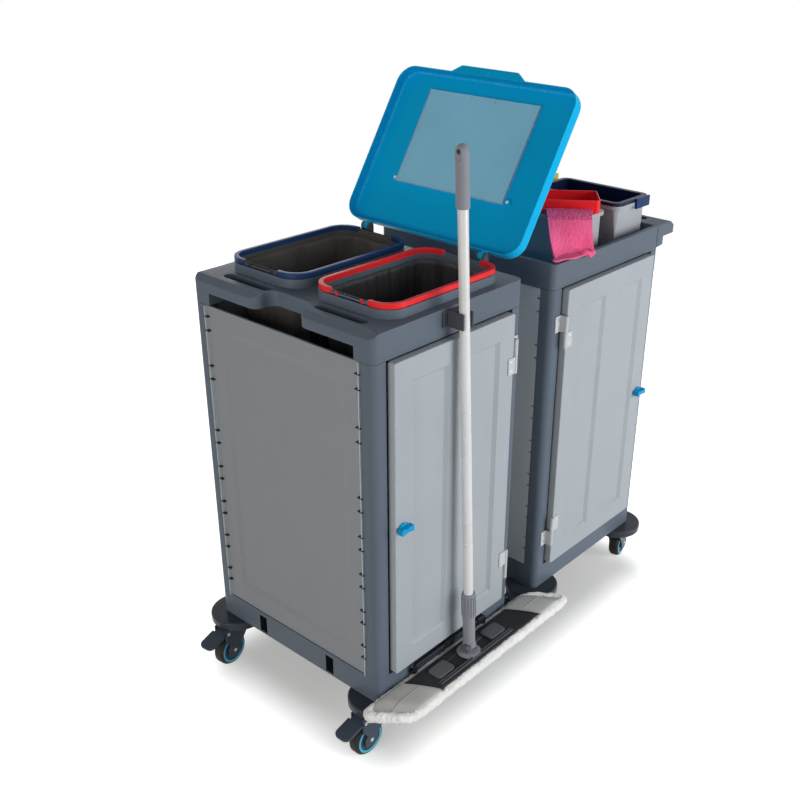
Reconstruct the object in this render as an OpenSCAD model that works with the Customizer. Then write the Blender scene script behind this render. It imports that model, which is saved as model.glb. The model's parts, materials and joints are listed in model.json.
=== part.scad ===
// Janitor cart: two cabinets on casters, with a lidded bag top, a tray top and a mop.
// Units are mm, +Z is up, -Y is the front. Sizes are laid out from the left cabinet's
// front left corner on the floor, and the whole cart is then moved to its own middle.

/* [Cabinets] */
// Length of each cabinet along the cart
cab_l = 492; // [400:1:600]
// Depth of both cabinets
cab_d = 564; // [480:1:640]
// Gap between the cabinets
cab_gap = 122; // [90:1:160]
// Height of the base's lower edge over the floor
base_z = 145; // [135:1:170]
// Height of a base
base_h = 65; // [56:1:90]
// Height of the posts
post_h = 792; // [700:1:900]
// Height of the top frames
top_h = 64; // [56:1:90]
// Outer corner radius of the cabinets
corner_r = 18; // [10:1:30]
// Width of a post, both ways
post_w = 38; // [32:1:50]
// Wall of a post
post_wall = 3; // [2:0.5:6]

/* [Bases] */
// Wall of a base
base_wall = 5; // [3:0.5:8]
// Floor of a cabinet
floor_t = 6; // [4:0.5:10]
// Half distance between the two slots of an end wall
slot_y = 120; // [90:1:150]
// Width of a slot
slot_w = 26; // [20:1:34]
// Height of a slot
slot_h = 48; // [40:1:52]
// Lip left under a slot
slot_lip = 6; // [4:1:10]
// Room around a tie rail in its slot
rail_gap = 2; // [1:0.5:4]
// Reach of a tie rail into each cabinet
rail_reach = 300; // [150:5:400]
// Wall of a tie rail
rail_wall = 3; // [2:0.5:4]

/* [Panels] */
// Thickness of a panel
panel_t = 6; // [4:0.5:9]
// How far a panel lies behind the posts' faces
panel_in = 3; // [1:0.5:6]
// Room between a panel's top edge and the top frame
panel_drop = 2; // [1:0.5:6]
// Width of a panel's plain border
panel_border = 48; // [30:1:80]
// Depth of the field inside the border
panel_emboss = 1.5; // [0.5:0.5:3]
// Share of the field that lies a step deeper
panel_split = 0.36; // [0.2:0.02:0.6]
// Depth of that step
panel_step = 0.8; // [0.4:0.1:1.5]
// Length of an edge notch
notch_l = 9; // [5:1:14]
// Height of an edge notch
notch_h = 4; // [2:0.5:7]
// Height of the first pair of notches over the base
notch_low = 68; // [40:1:100]
// Pitch of the lower pairs
notch_pitch = 98; // [70:1:120]
// Number of lower pairs
notch_n = 5; // [3:1:6]
// Height of the upper pairs over the base
notch_high = 627; // [560:1:680]
// Pitch of the upper pairs
notch_high_pitch = 121; // [80:1:130]
// Number of upper pairs
notch_high_n = 2; // [1:1:2]
// Distance between the two notches of a pair
notch_pair = 34; // [20:1:50]
// Thickness of the shelf
shelf_t = 8; // [5:1:14]
// Height of the shelf over the base
shelf_up = 390; // [200:5:600]

/* [Doors] */
// Room between a door and its posts
door_gap = 8; // [5:0.5:14]
// Room under and over a door
door_gap_z = 4; // [2:0.5:8]
// Thickness of a door
door_t = 22; // [16:1:30]
// How far a door stands in front of the posts
door_proud = 16; // [13:1:22]
// Edge round of a door
door_r = 6; // [3:1:12]
// Height of the raised fields on a door
field_h = 3; // [1:0.5:5]
// Border around the raised fields
field_border = 52; // [40:1:80]
// Gap between the two raised fields
field_gap = 56; // [40:1:90]
// Height of a door hinge
hinge_h = 84; // [60:1:110]
// Distance of a hinge from the middle of the door
hinge_off = 286; // [220:1:320]
// Width of a hinge leaf
leaf_w = 22; // [16:1:26]
// Thickness of a hinge leaf
leaf_t = 3; // [2:0.5:4]
// Radius of a hinge knuckle
knuckle_r = 5; // [4:0.5:6]
// Radius of a hinge pin
pin_r = 2.5; // [2:0.25:3]
// Length of a hinge pin
pin_l = 30; // [15:1:36]
// Room around turning pins and shafts
run_gap = 0.05; // [0.02:0.01:0.1]
// Room between moving faces
face_gap = 0.5; // [0.3:0.1:1]
// Distance of a latch from the door's edge
latch_in = 21; // [17:1:30]
// Radius of a latch's disc
latch_r = 13; // [9:1:15]
// Thickness of a latch's disc
latch_t = 5; // [3:0.5:8]
// Height of a latch's wing
wing_h = 13; // [8:1:18]
// Thickness of a latch's wing
wing_t = 8; // [5:0.5:11]
// Length of a latch's wing
wing_l = 38; // [26:1:40]
// Radius of a latch's shaft
shaft_r = 5; // [3:0.5:6]
// Length of a latch's cam behind the door
cam_l = 14; // [10:0.5:16]
// Thickness of a latch's cam
cam_t = 4; // [3:0.5:6]

/* [Left top] */
// Thickness of the top plate
plate_t = 20; // [12:1:30]
// Side wall of a top frame
top_wall = 12; // [8:1:18]
// Length of the grip end along the cart
grip_zone = 76; // [64:1:90]
// Height of a grip bar
grip_h = 35; // [26:1:45]
// Thickness of a grip bar
grip_t = 36; // [28:1:42]
// Width of a finger slot
finger_w = 26; // [20:1:30]
// Room between a finger slot's end and the corner block
corner_block = 55; // [46:1:70]
// Width of the recess between the two grips
recess_w = 132; // [90:1:160]
// Depth of the recess
recess_d = 52; // [30:1:60]
// Round of the recess and of the grips' ends
recess_r = 22; // [10:1:25]
// Bevel of the grip edge along the cart
bevel_x = 17; // [8:1:20]
// Bevel of the grip edge upwards
bevel_z = 12; // [6:1:16]
// Room between a bag's mouth and both ends of its cabinet, on average
bag_side = 70; // [70:1:90]
// Mouth of a bag across the cart
bag_d = 214; // [180:1:225]
// Corner radius of a bag
bag_r = 40; // [25:1:60]
// Wall of a bag
bag_t = 2.5; // [1.5:0.5:4]
// Depth of a bag
bag_h = 708; // [500:1:740]
// Room around a bag in its opening
bag_gap = 3; // [2:0.5:5]
// Half distance between the two bags
bag_y = 138; // [130:1:150]
// Distance of the bags' middle from the cabinet's middle
bag_shift = 18; // [14:1:18]
// Wall of a raised collar
collar_t = 9; // [6:1:12]
// Height of a raised collar
collar_h = 20; // [12:1:24]
// Thickness of a ring's band
ring_t = 11; // [8:0.5:12]
// Height of a ring's band
ring_h = 13; // [10:1:16]
// Depth of a ring's skirt in its mouth
skirt_h = 16; // [10:1:22]
// Wall of a ring's skirt
skirt_t = 2.4; // [1.5:0.1:2.4]
// Thickness of the link in a ring's gap
link_t = 5; // [3:0.5:7]
// Height of the link in a ring's gap
link_h = 9; // [6:0.5:12]
// Length of a ring's gap
ring_break = 110; // [50:1:130]
// Room between a ring and its neighbours
ring_gap = 0.3; // [0.3:0.1:1]
// Radius of a rivet on a ring's link
rivet_r = 3.5; // [2:0.5:4]

/* [Lid] */
// Height of the lid's hinge over the top frame
lid_up = 37; // [36:1:60]
// Distance of the lid's hinge from its cabinet's inner end
lid_in = 30; // [20:1:30]
// Length of the lid from its hinge
lid_l = 421; // [380:1:430]
// Room between the hinge and the lid's near wall
lid_near = 13; // [11:0.5:20]
// Width of the lid
lid_w = 542; // [460:1:560]
// Depth of the lid's rim
lid_h = 30; // [20:1:40]
// Wall of the lid
lid_t = 3; // [2:0.5:5]
// Corner radius of the lid
lid_r = 45; // [25:1:60]
// How far the lid stands open in the rest pose
lid_open = 123; // [100:1:130]
// Distance of a lug from the lid's middle
lug_y = 182; // [160:1:220]
// Width of a lug
lug_w = 14; // [8:1:20]
// Radius of a lug
lug_r = 9; // [7:0.5:10]
// Radius of a lid pin
lid_pin_r = 4; // [3:0.5:5]
// Thickness of a bracket's cheek
cheek_t = 6; // [4:0.5:8]
// Width of the lid's tab
tab_w = 222; // [100:1:260]
// Reach of the lid's tab
tab_l = 18; // [10:1:30]
// Slope of the tab's ends
tab_slope = 26; // [10:1:40]
// Thickness of the lid's tab
tab_t = 12; // [8:1:20]
// Width of the document pocket
pocket_w = 335; // [250:1:360]
// Length of the document pocket
pocket_l = 244; // [200:1:280]
// Distance of the pocket from the lid's free edge
pocket_in = 45; // [40:1:90]
// Wall of the pocket
pocket_t = 2; // [1.5:0.5:3]
// Slit of the pocket
pocket_slit = 6; // [5:0.5:10]
// Distance between the two cuts in the pocket's mouth
thumb_w = 74; // [40:1:100]
// Length of a cut
thumb_cut = 14; // [8:1:24]
// Width of a cut
cut_w = 2.5; // [1.5:0.5:5]

/* [Right top] */
// Floor of the tray
tray_floor = 6; // [4:0.5:10]
// Wall of the tray
tray_wall = 14; // [10:1:20]
// Reach of the end handle
handle_l = 72; // [60:1:90]
// Thickness of the handle's bar
handle_t = 32; // [24:1:40]
// Reach of the step under the handle
step_l = 20; // [10:1:30]

/* [Buckets] */
// Width of a bucket's rim
bucket_w = 156; // [130:1:170]
// Length of a bucket's rim
bucket_l = 272; // [230:1:280]
// Height of a bucket
bucket_h = 130; // [100:1:150]
// Corner radius of a bucket
bucket_r = 24; // [14:1:32]
// Wall of a bucket
bucket_t = 3; // [2:0.5:5]
// Lip of a bucket's rim
lip_w = 7; // [5:0.5:10]
// Height of a bucket's lip
lip_h = 10; // [6:1:16]
// Taper of a bucket's sides
bucket_taper = 4; // [2:0.5:6]
// Room between the red and the blue bucket
bucket_space = 36; // [34:1:50]
// Distance of the red bucket from the front
red_y = 42; // [30:1:60]
// Room between the blue bucket and the tray's end wall
blue_in = 4; // [2:1:16]
// Distance of the blue bucket from the front
blue_y = 32; // [20:1:40]
// Room between the rear bucket and the tray's end wall
rear_in = 4; // [2:1:16]
// Distance of the rear bucket from the front
rear_y = 334; // [326:1:380]
// Length of the red tray
red_w = 190; // [150:1:210]
// Depth of the red tray
red_d = 104; // [80:1:104]
// Height of the red tray
red_h = 33; // [26:1:60]
// Wall of the red tray
red_t = 3; // [2:0.5:5]
// Distance of the red tray's front corner from its bucket's right side
red_in = 47; // [44:1:60]
// How far that corner reaches in front of the bucket
red_out = 8; // [4:1:16]
// Turn of the red tray on its bucket
red_turn = -51; // [-56:1:-51]
// Reach of the navy tray into its bucket
navy_h = 60; // [40:1:90]
// Height of the navy tray's rim
navy_rim = 9; // [6:1:14]
// Room between the navy tray and its bucket
navy_gap = 1; // [0.5:0.5:2]
// Thickness of the navy tray's end clip
clip_t = 6; // [4:0.5:9]
// Width of the navy tray's end clip
clip_w = 44; // [30:1:60]
// Height of the navy tray's end clip
clip_h = 26; // [16:1:34]
// Width of the cloth where it hangs
cloth_w = 116; // [90:1:130]
// Thickness of the folded cloth
cloth_t = 6; // [4:0.5:8]
// How far the cloth reaches out from the red tray
cloth_out = 80; // [78:1:84]
// Distance of the cloth's middle from the red tray's front corner
cloth_x = 82; // [76:1:100]
// Room between the hanging cloth and the cart's rim
cloth_clear = 2; // [2:0.5:8]
// How far the cloth's end hangs in front of the rim
cloth_hang = 18; // [10:1:30]
// Drift of the cloth's end along the red tray
cloth_drift = 15; // [5:1:26]
// How far the cloth runs past the rim before it turns down
cloth_edge = 8; // [8:1:12]
// Steepness of the cloth's end in front of the rim
cloth_slope = 1.2; // [0.6:0.1:1.2]
// Depth of the cloth's folds
cloth_fold = 3; // [1:0.5:5]
// Number of the cloth's folds
cloth_folds = 2; // [1:1:4]

/* [Mop] */
// Distance of the mop's foot from the left end
mop_x = 262; // [240:1:290]
// Distance of the mop's foot in front of the cart
mop_y = 58; // [54:1:80]
// Lean of the mop across the cart, foot forward
mop_lean = 1.6; // [0:0.1:2]
// Lean of the mop along the cart
mop_side = 1.46; // [0:0.1:2]
// Radius of the mop's tube
tube_r = 11.5; // [9:0.5:13]
// Wall of the mop's tube
tube_t = 1.5; // [1:0.25:2.5]
// Length of the tube out of its socket
tube_l = 1110; // [900:5:1200]
// Length of the grip
hand_l = 128; // [100:1:160]
// Radius of the grip
hand_r = 14.5; // [13:0.5:18]
// Thickness of the grip's flat end
hand_flat = 24; // [18:1:26]
// Radius of the hang hole
hole_r = 5; // [3:0.5:6]
// Length of the collar
collar_l = 72; // [60:1:100]
// Radius of the collar
mop_collar_r = 18; // [16:0.5:22]
// Number of ribs on the collar
rib_n = 16; // [8:1:24]
// Length of the socket
socket_l = 72; // [60:1:130]
// Radius of the socket
socket_r = 15; // [14:0.5:16]
// Height of the head's pivot over the pad's sole
pivot_up = 46; // [40:1:60]
// Radius of the head's pivot pin
pivot_r = 4; // [3:0.5:5]
// Thickness of the pad
pad_t = 20; // [14:1:26]
// Room under the pad
pad_gap = 1; // [0.5:0.5:3]
// Width of the pad
pad_w = 108; // [90:1:125]
// Length of the pad along its middle
pad_l = 646; // [560:1:680]
// Slant of the pad's ends
pad_slant = 68; // [0:1:90]
// Distance of the pad from the base's front
pad_back = 3; // [2:0.5:8]
// Length of a pad's pocket
pad_pocket = 148; // [110:1:160]
// Height of a pad's pocket
pocket_h = 16; // [14:1:22]
// Thickness of the mop's frame
frame_t = 10; // [6:1:12]
// Width of the mop's frame
frame_w = 78; // [60:1:84]
// Length of the mop's frame
frame_l = 496; // [400:1:520]
// Length of a foot plate on the mop's frame
foot_l = 58; // [40:1:70]
// Width of a foot plate
foot_w = 40; // [30:1:50]
// Opening of the clip on each side of the tube
clip_gap = 2; // [1.5:0.5:4]
// Height of the clip
mop_clip_h = 36; // [24:1:44]
// Thickness of the clip's arms
clip_arm = 4; // [3:0.5:6]
// Width of the clip's back plate
clip_plate = 64; // [50:1:80]
// Radius of the front bar
bar_r = 5; // [4:0.5:6]
// Reach of the front bar
bar_out = 14; // [12:1:16]
// Distance of the front bar's ends from the left end
bar_x = 112; // [90:1:140]
// Length of the front bar
bar_l = 262; // [200:1:300]
// Drop of the front bar's ends
bar_drop = 20; // [16:1:24]
// Distance of the front bar under the base's top edge
bar_down = 12; // [10:1:14]

/* [Casters] */
// Distance of a caster from both edges of its cabinet
cast_in = 28; // [24:1:36]
// Radius of a bumper disc
disc_r = 72; // [56:1:76]
// Thickness of a bumper disc
disc_t = 24; // [14:1:28]
// Radius of a wheel
wheel_r = 45; // [40:1:48]
// Width of a wheel
wheel_w = 30; // [24:1:36]
// Distance of the wheel behind its swivel
trail = 44; // [36:1:50]
// Radius of a swivel stem
stem_r = 8; // [6:0.5:10]
// Length of a stem over its fork
stem_l = 40; // [30:1:50]
// Radius of an axle
axle_r = 5; // [4:0.5:7]
// Thickness of a fork's cheek
fork_t = 5; // [4:0.5:7]
// Room between a wheel and its fork
fork_gap = 1.5; // [1:0.25:3]
// Radius of a fork's head
head_r = 30; // [24:1:34]
// Radius of a fork's lower end
cheek_r = 21; // [16:1:24]
// Reach of a fork's hood beside the axle
hood_side = 29; // [24:1:34]
// Height of that hood over the axle
hood_low = 18; // [14:1:22]
// Distance of a pedal's pin behind the axle
pedal_back = 18; // [14:1:22]
// Height of a pedal's pin over the wheel
pedal_up = 16; // [14:1:17]
// Radius of a pedal's pin
pedal_pin_r = 4; // [3:0.5:5]
// Radius of a pedal's hub
pedal_hub_r = 8; // [7:0.5:9]
// Length of a pedal
pedal_l = 68; // [50:1:76]
// Width of a pedal's foot
pedal_w = 46; // [38:1:54]
// Thickness of a pedal
pedal_t = 7; // [5:0.5:8]
// Corner radius of a pedal's foot
pedal_r = 16; // [8:1:18]
// Room between a pedal's pin and its foot
pedal_root = 13; // [13:1:18]
// Height of a pedal's foot over its pin
pedal_rise = 4; // [0:0.5:4]
// Droop of a pedal
pedal_tilt = 15; // [6:1:20]

/* [Hidden] */
$fn = 48;
e = 1;

seam_low = base_z + base_h;
seam_high = seam_low + post_h;
top_z = seam_high + top_h;
right_x = cab_l + cab_gap;
cart_l = right_x + cab_l;
mid_y = cab_d / 2;

// The cart's middle, from the ends of the left brake pedals, the handle and the mop pad
left_most = cast_in - trail - pedal_back - pedal_l * cos(pedal_tilt) 
  - (pedal_t / 2 + pedal_rise) * sin(pedal_tilt);
right_most = cart_l + handle_l;
front_most = -pad_back - pad_w;
back_most = cab_d - cast_in + disc_r;
org_x = (left_most + right_most) / 2;
org_y = (front_most + back_most) / 2;

door_w = cab_l - 2 * (post_w + door_gap);
door_h = post_h - 2 * door_gap_z;
door_z = seam_low + door_gap_z;
door_mid = door_z + door_h / 2;
hinge_x = knuckle_r + face_gap;
hinge_y = -door_proud - e;

rail_w = slot_w - rail_gap;
rail_h = slot_h - rail_gap;
rail_z = base_z + slot_lip + rail_gap / 2;

ring_z = top_z + collar_h + ring_gap;
bag_w = cab_l - 2 * bag_side;
bag_x = cab_l / 2 + bag_shift;
bag_bottom = ring_z - skirt_h / 2 - bag_h;
mouth_w = bag_w + 2 * bag_gap;
mouth_d = bag_d + 2 * bag_gap;
mouth_r = bag_r + bag_gap;

lid_x = cab_l - lid_in;
lid_z = top_z + lid_up;
tray_z = seam_high + tray_floor;
rim_z = tray_z + bucket_h;
blue_x = cab_l - tray_wall - bucket_w - blue_in;
red_x = blue_x - bucket_w - bucket_space;
rear_x = cab_l - tray_wall - bucket_l - rear_in;

foot_z = base_z + pad_gap + pivot_up;
sole_z = base_z + pad_gap;
frame_z = sole_z + pad_t;
clip_z = seam_high + top_h / 2 + 9;
mop_rise = clip_z - foot_z;
tube_at_clip_x = mop_x - mop_rise * tan(mop_side);
tube_at_clip_y = -mop_y + mop_rise * tan(mop_lean);
pad_x = mop_x;
socket_up = 14;

fork_z = base_z - disc_t - ring_gap;
cheek_y = wheel_w / 2 + fork_gap;
pedal_x = -trail - pedal_back;
pedal_z = 2 * wheel_r + pedal_up;

// Casters: place in x and y, turn in the rest pose
cast_fl = [cast_in, cast_in, 0];
cast_bl = [cast_in, cab_d - cast_in, 6];
cast_fm = [cab_l - cast_in, cast_in, 0];
cast_bm = [cab_l - cast_in, cab_d - cast_in, 0];
cast_fn = [right_x + cast_in, cast_in, -90];
cast_bn = [right_x + cast_in, cab_d - cast_in, 90];
cast_fr = [cart_l - cast_in, cast_in, 192];
cast_br = [cart_l - cast_in, cab_d - cast_in, 180];
casters = [cast_fl, cast_bl, cast_fm, cast_bm, cast_fn, cast_bn, cast_fr, cast_br];

// Outline with round corners, from its own corner
module rounded(w, d, r) {
  translate([r, 0]) square([w - 2 * r, d]);
  translate([0, r]) square([w, d - 2 * r]);
  for (x = [r, w - r])
    for (y = [r, d - r])
      translate([x, y]) circle(r);
}

// The same, about its own middle
module rounded_mid(w, d, r) {
  translate([-w / 2, -d / 2]) rounded(w, d, r);
}

module placed() {
  translate([-org_x, -org_y, 0]) children();
}

// Bases and posts
module end_slots() {
  for (x = [0, cab_l])
    for (y = [mid_y - slot_y, mid_y + slot_y])
      translate([x - base_wall - e, y - slot_w / 2, slot_lip])
        cube([2 * (base_wall + e), slot_w, slot_h]);
}

module corner_bosses() {
  for (x = [cast_in, cab_l - cast_in])
    for (y = [cast_in, cab_d - cast_in])
      translate([x, y, 0]) cylinder(r = cast_in - base_wall / 2, h = base_h - floor_t + e);
}

module corner_bores() {
  for (x = [cast_in, cab_l - cast_in])
    for (y = [cast_in, cab_d - cast_in])
      translate([x, y, -e]) cylinder(r = stem_r + run_gap, h = stem_l + e - disc_t + 2);
}

// Pads that carry the tie rails under a cabinet's floor
module rail_pads(x0) {
  for (y = [mid_y - slot_y, mid_y + slot_y])
    translate([x0, y - rail_w / 2, rail_z + rail_h - base_z])
      cube([rail_reach / 2, rail_w, seam_low - floor_t - rail_z - rail_h + e]);
}

module cabinet_base(pads_x) {
  difference() {
    union() {
      difference() {
        linear_extrude(base_h) rounded(cab_l, cab_d, corner_r);
        translate([base_wall, base_wall, -e])
          linear_extrude(base_h - floor_t + e)
            rounded(cab_l - 2 * base_wall, cab_d - 2 * base_wall, corner_r - base_wall);
      }
      corner_bosses();
      rail_pads(pads_x);
    }
    end_slots();
    corner_bores();
  }
}

module left_base() {
  color([0.25, 0.27, 0.31])
    translate([0, 0, base_z]) cabinet_base(cab_l - base_wall - rail_reach / 2);
}

module right_base() {
  color([0.25, 0.27, 0.31])
    translate([right_x, 0, base_z]) cabinet_base(base_wall);
}

module tie_rails() {
  color([0.2, 0.2, 0.21])
    for (y = [mid_y - slot_y, mid_y + slot_y])
      translate([cab_l - rail_reach, y - rail_w / 2, rail_z])
        difference() {
          cube([cab_gap + 2 * rail_reach, rail_w, rail_h]);
          translate([-e, rail_wall, rail_wall])
            cube([cab_gap + 2 * rail_reach + 2 * e, rail_w - 2 * rail_wall, rail_h - 2 * rail_wall]);
        }
}

module post_outline(x, y) {
  intersection() {
    rounded(cab_l, cab_d, corner_r);
    translate([x, y]) square(post_w);
  }
}

module post_bore(x, y) {
  translate([x + post_wall, y + post_wall])
    rounded(post_w - 2 * post_wall, post_w - 2 * post_wall, corner_r - post_wall);
}

module posts(x0) {
  color([0.28, 0.3, 0.34])
    translate([x0, 0, seam_low])
      for (x = [0, cab_l - post_w])
        for (y = [0, cab_d - post_w])
          difference() {
            linear_extrude(post_h) post_outline(x, y);
            translate([0, 0, -e]) linear_extrude(post_h + 2 * e) post_bore(x, y);
          }
}

module left_posts() {
  posts(0);
}

module right_posts() {
  posts(right_x);
}

// Panels, drawn flat in x and z with the outer face at y = 0
module panel_notches(w) {
  lower = [for (i = [0 : notch_n - 1]) notch_low + i * notch_pitch];
  upper = [for (i = [0 : notch_high_n - 1]) notch_high + i * notch_high_pitch];
  for (z = concat(lower, upper))
    for (s = [-1, 1])
      for (x = [-e, w - notch_l])
        translate([x, -e, z + s * notch_pair / 2 - notch_h / 2])
          cube([notch_l + e, panel_t + 2 * e, notch_h]);
}

module flat_panel(w) {
  h = post_h - panel_drop;
  difference() {
    cube([w, panel_t, h]);
    translate([panel_border, -e, panel_border])
      cube([w - 2 * panel_border, panel_emboss + e, h - 2 * panel_border]);
    translate([panel_border, -e, panel_border])
      cube([(w - 2 * panel_border) * panel_split, panel_emboss + panel_step + e, h - 2 * panel_border]);
    panel_notches(w);
  }
}

module end_panel(x, turn) {
  w = cab_d - 2 * post_w;
  translate([x, mid_y, seam_low])
    rotate([0, 0, turn])
      translate([-w / 2, panel_in, 0]) flat_panel(w);
}

module back_panel(x0) {
  w = cab_l - 2 * post_w;
  translate([x0 + cab_l / 2, cab_d, seam_low])
    rotate([0, 0, 180])
      translate([-w / 2, panel_in, 0]) flat_panel(w);
}

module left_end_panel() {
  color([0.49, 0.5, 0.5]) end_panel(0, -90);
}

module right_end_panel() {
  color([0.49, 0.5, 0.5]) end_panel(cart_l, 90);
}

module inner_panels() {
  color([0.49, 0.5, 0.5]) {
    end_panel(cab_l, 90);
    end_panel(right_x, -90);
    back_panel(0);
    back_panel(right_x);
  }
}

module right_shelf() {
  inset = panel_in + panel_t;
  front = door_t - door_proud + cam_t + 4 * face_gap;
  color([0.4, 0.41, 0.43])
    translate([right_x, 0, seam_low + shelf_up])
      difference() {
        translate([inset, front, 0])
          cube([cab_l - 2 * inset, cab_d - inset - front, shelf_t]);
        for (x = [0, cab_l - post_w])
          for (y = [0, cab_d - post_w])
            translate([x - e, y - e, -e]) cube([post_w + 2 * e, post_w + 2 * e, shelf_t + 2 * e]);
      }
}

// Doors, drawn from the hinge edge along -X with the front face at y = 0
module door_fields() {
  w = (door_w - 2 * field_border - field_gap) / 2;
  h = door_h - 2 * field_border;
  for (x = [field_border, field_border + w + field_gap])
    translate([-x - w, 0, field_border])
      difference() {
        translate([0, -e, 0]) cube([w, field_h + e, h]);
        translate([field_h * 2, field_h / 2, field_h * 2])
          cube([w - 4 * field_h, field_h, h - 4 * field_h]);
      }
}

module door_slab() {
  difference() {
    translate([-door_w, door_t, 0])
      rotate([90, 0, 0]) linear_extrude(door_t) rounded(door_w, door_h, door_r);
    door_fields();
    translate([-door_w + latch_in, -e, door_h / 2])
      rotate([-90, 0, 0]) cylinder(r = shaft_r + run_gap, h = door_t + 2 * e);
  }
}

// Lift-off hinges: each has a fixed half with the pin and a half that turns with the door.
// The fixed half is the upper one at the top of the door and the lower one at its foot.
module at_hinges() {
  for (s = [-1, 1])
    translate([0, 0, door_h / 2 + s * hinge_off]) mirror([0, 0, s > 0 ? 0 : 1]) children();
}

module door_leaf() {
  half = hinge_h / 2 - face_gap;
  at_hinges()
    translate([0, 0, -hinge_h / 2])
      difference() {
        union() {
          translate([-leaf_w, -leaf_t, 0]) cube([leaf_w, leaf_t, half]);
          translate([-e, -leaf_t, 0]) cube([hinge_x + e, leaf_t, half]);
          translate([hinge_x, -e, 0]) cylinder(r = knuckle_r, h = half);
        }
        translate([hinge_x, -e, half - pin_l]) cylinder(r = pin_r + run_gap, h = pin_l + e);
      }
}

module hinge_plate() {
  half = hinge_h / 2;
  at_hinges() {
    translate([door_gap + face_gap, door_proud - leaf_t, 0]) cube([leaf_w, leaf_t, half]);
    translate([hinge_x, -e, 0]) cylinder(r = knuckle_r, h = half);
    translate([hinge_x, -e, 0]) cube([knuckle_r, door_proud + e, half]);
    translate([hinge_x, -e, -pin_l + face_gap]) cylinder(r = pin_r, h = pin_l);
  }
}

// Turn latch on the door's front face, about the shaft's axis
module latch() {
  translate([-door_w + latch_in, 0, door_h / 2])
    rotate([90, 0, 0]) {
      cylinder(r = shaft_r, h = latch_t);
      translate([0, 0, face_gap]) cylinder(r = latch_r, h = latch_t);
      translate([-wing_l / 2, -wing_t / 2, latch_t]) cube([wing_l, wing_t, wing_h]);
      translate([0, 0, -door_t - face_gap - e]) cylinder(r = shaft_r, h = door_t + face_gap + 2 * e);
      translate([-cam_t, -cam_l, -door_t - face_gap - cam_t]) cube([2 * cam_t, 2 * cam_l, cam_t]);
    }
}

module at_left_door() {
  translate([cab_l - post_w - door_gap, -door_proud, door_z]) children();
}

module at_right_door() {
  translate([right_x + post_w + door_gap, -door_proud, door_z]) mirror([1, 0, 0]) children();
}

module left_door() {
  color([0.67, 0.7, 0.73]) at_left_door() door_slab();
}

module right_door() {
  color([0.67, 0.7, 0.73]) at_right_door() door_slab();
}

module left_leaves() {
  color([0.8, 0.81, 0.82]) at_left_door() door_leaf();
}

module right_leaves() {
  color([0.8, 0.81, 0.82]) at_right_door() door_leaf();
}

module left_latch() {
  color([0.05, 0.62, 0.85]) at_left_door() latch();
}

module right_latch() {
  color([0.05, 0.62, 0.85]) at_right_door() latch();
}

module hinge_brackets() {
  color([0.78, 0.8, 0.82]) {
    at_left_door() hinge_plate();
    at_right_door() hinge_plate();
  }
}

// Grip end of a top frame: two bars with finger slots and a recess between them
module finger_slots(x0, w) {
  l = mid_y - recess_w / 2 - corner_block;
  for (y = [corner_block + l / 2, cab_d - corner_block - l / 2])
    translate([x0 + w / 2, y, seam_high - e])
      linear_extrude(top_h + 2 * e) rounded_mid(w, l - w / 2, w / 2 - 0.5);
}

// Recess, cut from x = 0 towards +X, with the grips' ends rounded off
module grip_recess() {
  translate([-recess_d, mid_y - recess_w / 2, seam_high - e])
    linear_extrude(top_h + 2 * e) rounded(2 * recess_d, recess_w, recess_r);
  for (s = [-1, 1])
    translate([0, mid_y + s * recess_w / 2, seam_high - e])
      linear_extrude(top_h + 2 * e)
        difference() {
          translate([-e, s < 0 ? -recess_r : -e]) square(recess_r + e);
          translate([recess_r, s * recess_r]) circle(recess_r);
        }
}

module grip_bevel() {
  translate([0, -e, top_z - bevel_z])
    rotate([-90, 0, 0])
      linear_extrude(cab_d + 2 * e)
        polygon([[-e, e], [-e, -bevel_z - e], [bevel_x, -bevel_z - e], [bevel_x, -bevel_z], [0, 0]]);
}

// Bag openings and collars
module at_bags() {
  for (s = [-1, 1])
    translate([bag_x, mid_y + s * bag_y, 0]) children();
}

module left_top_frame() {
  color([0.3, 0.32, 0.36])
    difference() {
      union() {
        translate([0, 0, seam_high]) linear_extrude(top_h) rounded(cab_l, cab_d, corner_r);
        at_bags()
          translate([0, 0, top_z - e])
            linear_extrude(collar_h + e)
              rounded_mid(mouth_w + 2 * collar_t, mouth_d + 2 * collar_t, mouth_r + collar_t);
      }
      translate([grip_zone, top_wall, seam_high - e])
        cube([cab_l - grip_zone - top_wall, cab_d - 2 * top_wall, top_h - plate_t + e]);
      translate([-e, corner_block, seam_high - e])
        cube([grip_zone + 2 * e, cab_d - 2 * corner_block, top_h - grip_h + e]);
      at_bags()
        translate([0, 0, seam_high - e])
          linear_extrude(top_h + collar_h + 2 * e) rounded_mid(mouth_w, mouth_d, mouth_r);
      finger_slots(grip_t, finger_w);
      grip_recess();
      grip_bevel();
    }
}

module right_top_tray() {
  outer_x = cart_l + handle_l;
  color([0.3, 0.32, 0.36])
    difference() {
      union() {
        translate([right_x, 0, seam_high]) linear_extrude(top_h) rounded(cab_l, cab_d, corner_r);
        translate([cart_l - tray_wall, 0, top_z - grip_h]) cube([handle_l + tray_wall, cab_d, grip_h]);
        translate([cart_l - tray_wall, 0, seam_high + tray_floor])
          cube([step_l + tray_wall, cab_d, top_h - tray_floor]);
      }
      translate([right_x + tray_wall, tray_wall, tray_z])
        cube([cab_l - 2 * tray_wall, cab_d - 2 * tray_wall, top_h]);
      translate([cart_l + step_l / 2, corner_block, seam_high - e])
        cube([handle_l, cab_d - 2 * corner_block, top_h - grip_h + e]);
      translate([outer_x, 0, 0]) mirror([1, 0, 0]) {
        finger_slots(handle_t, finger_w);
        grip_recess();
        grip_bevel();
      }
    }
}

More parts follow.
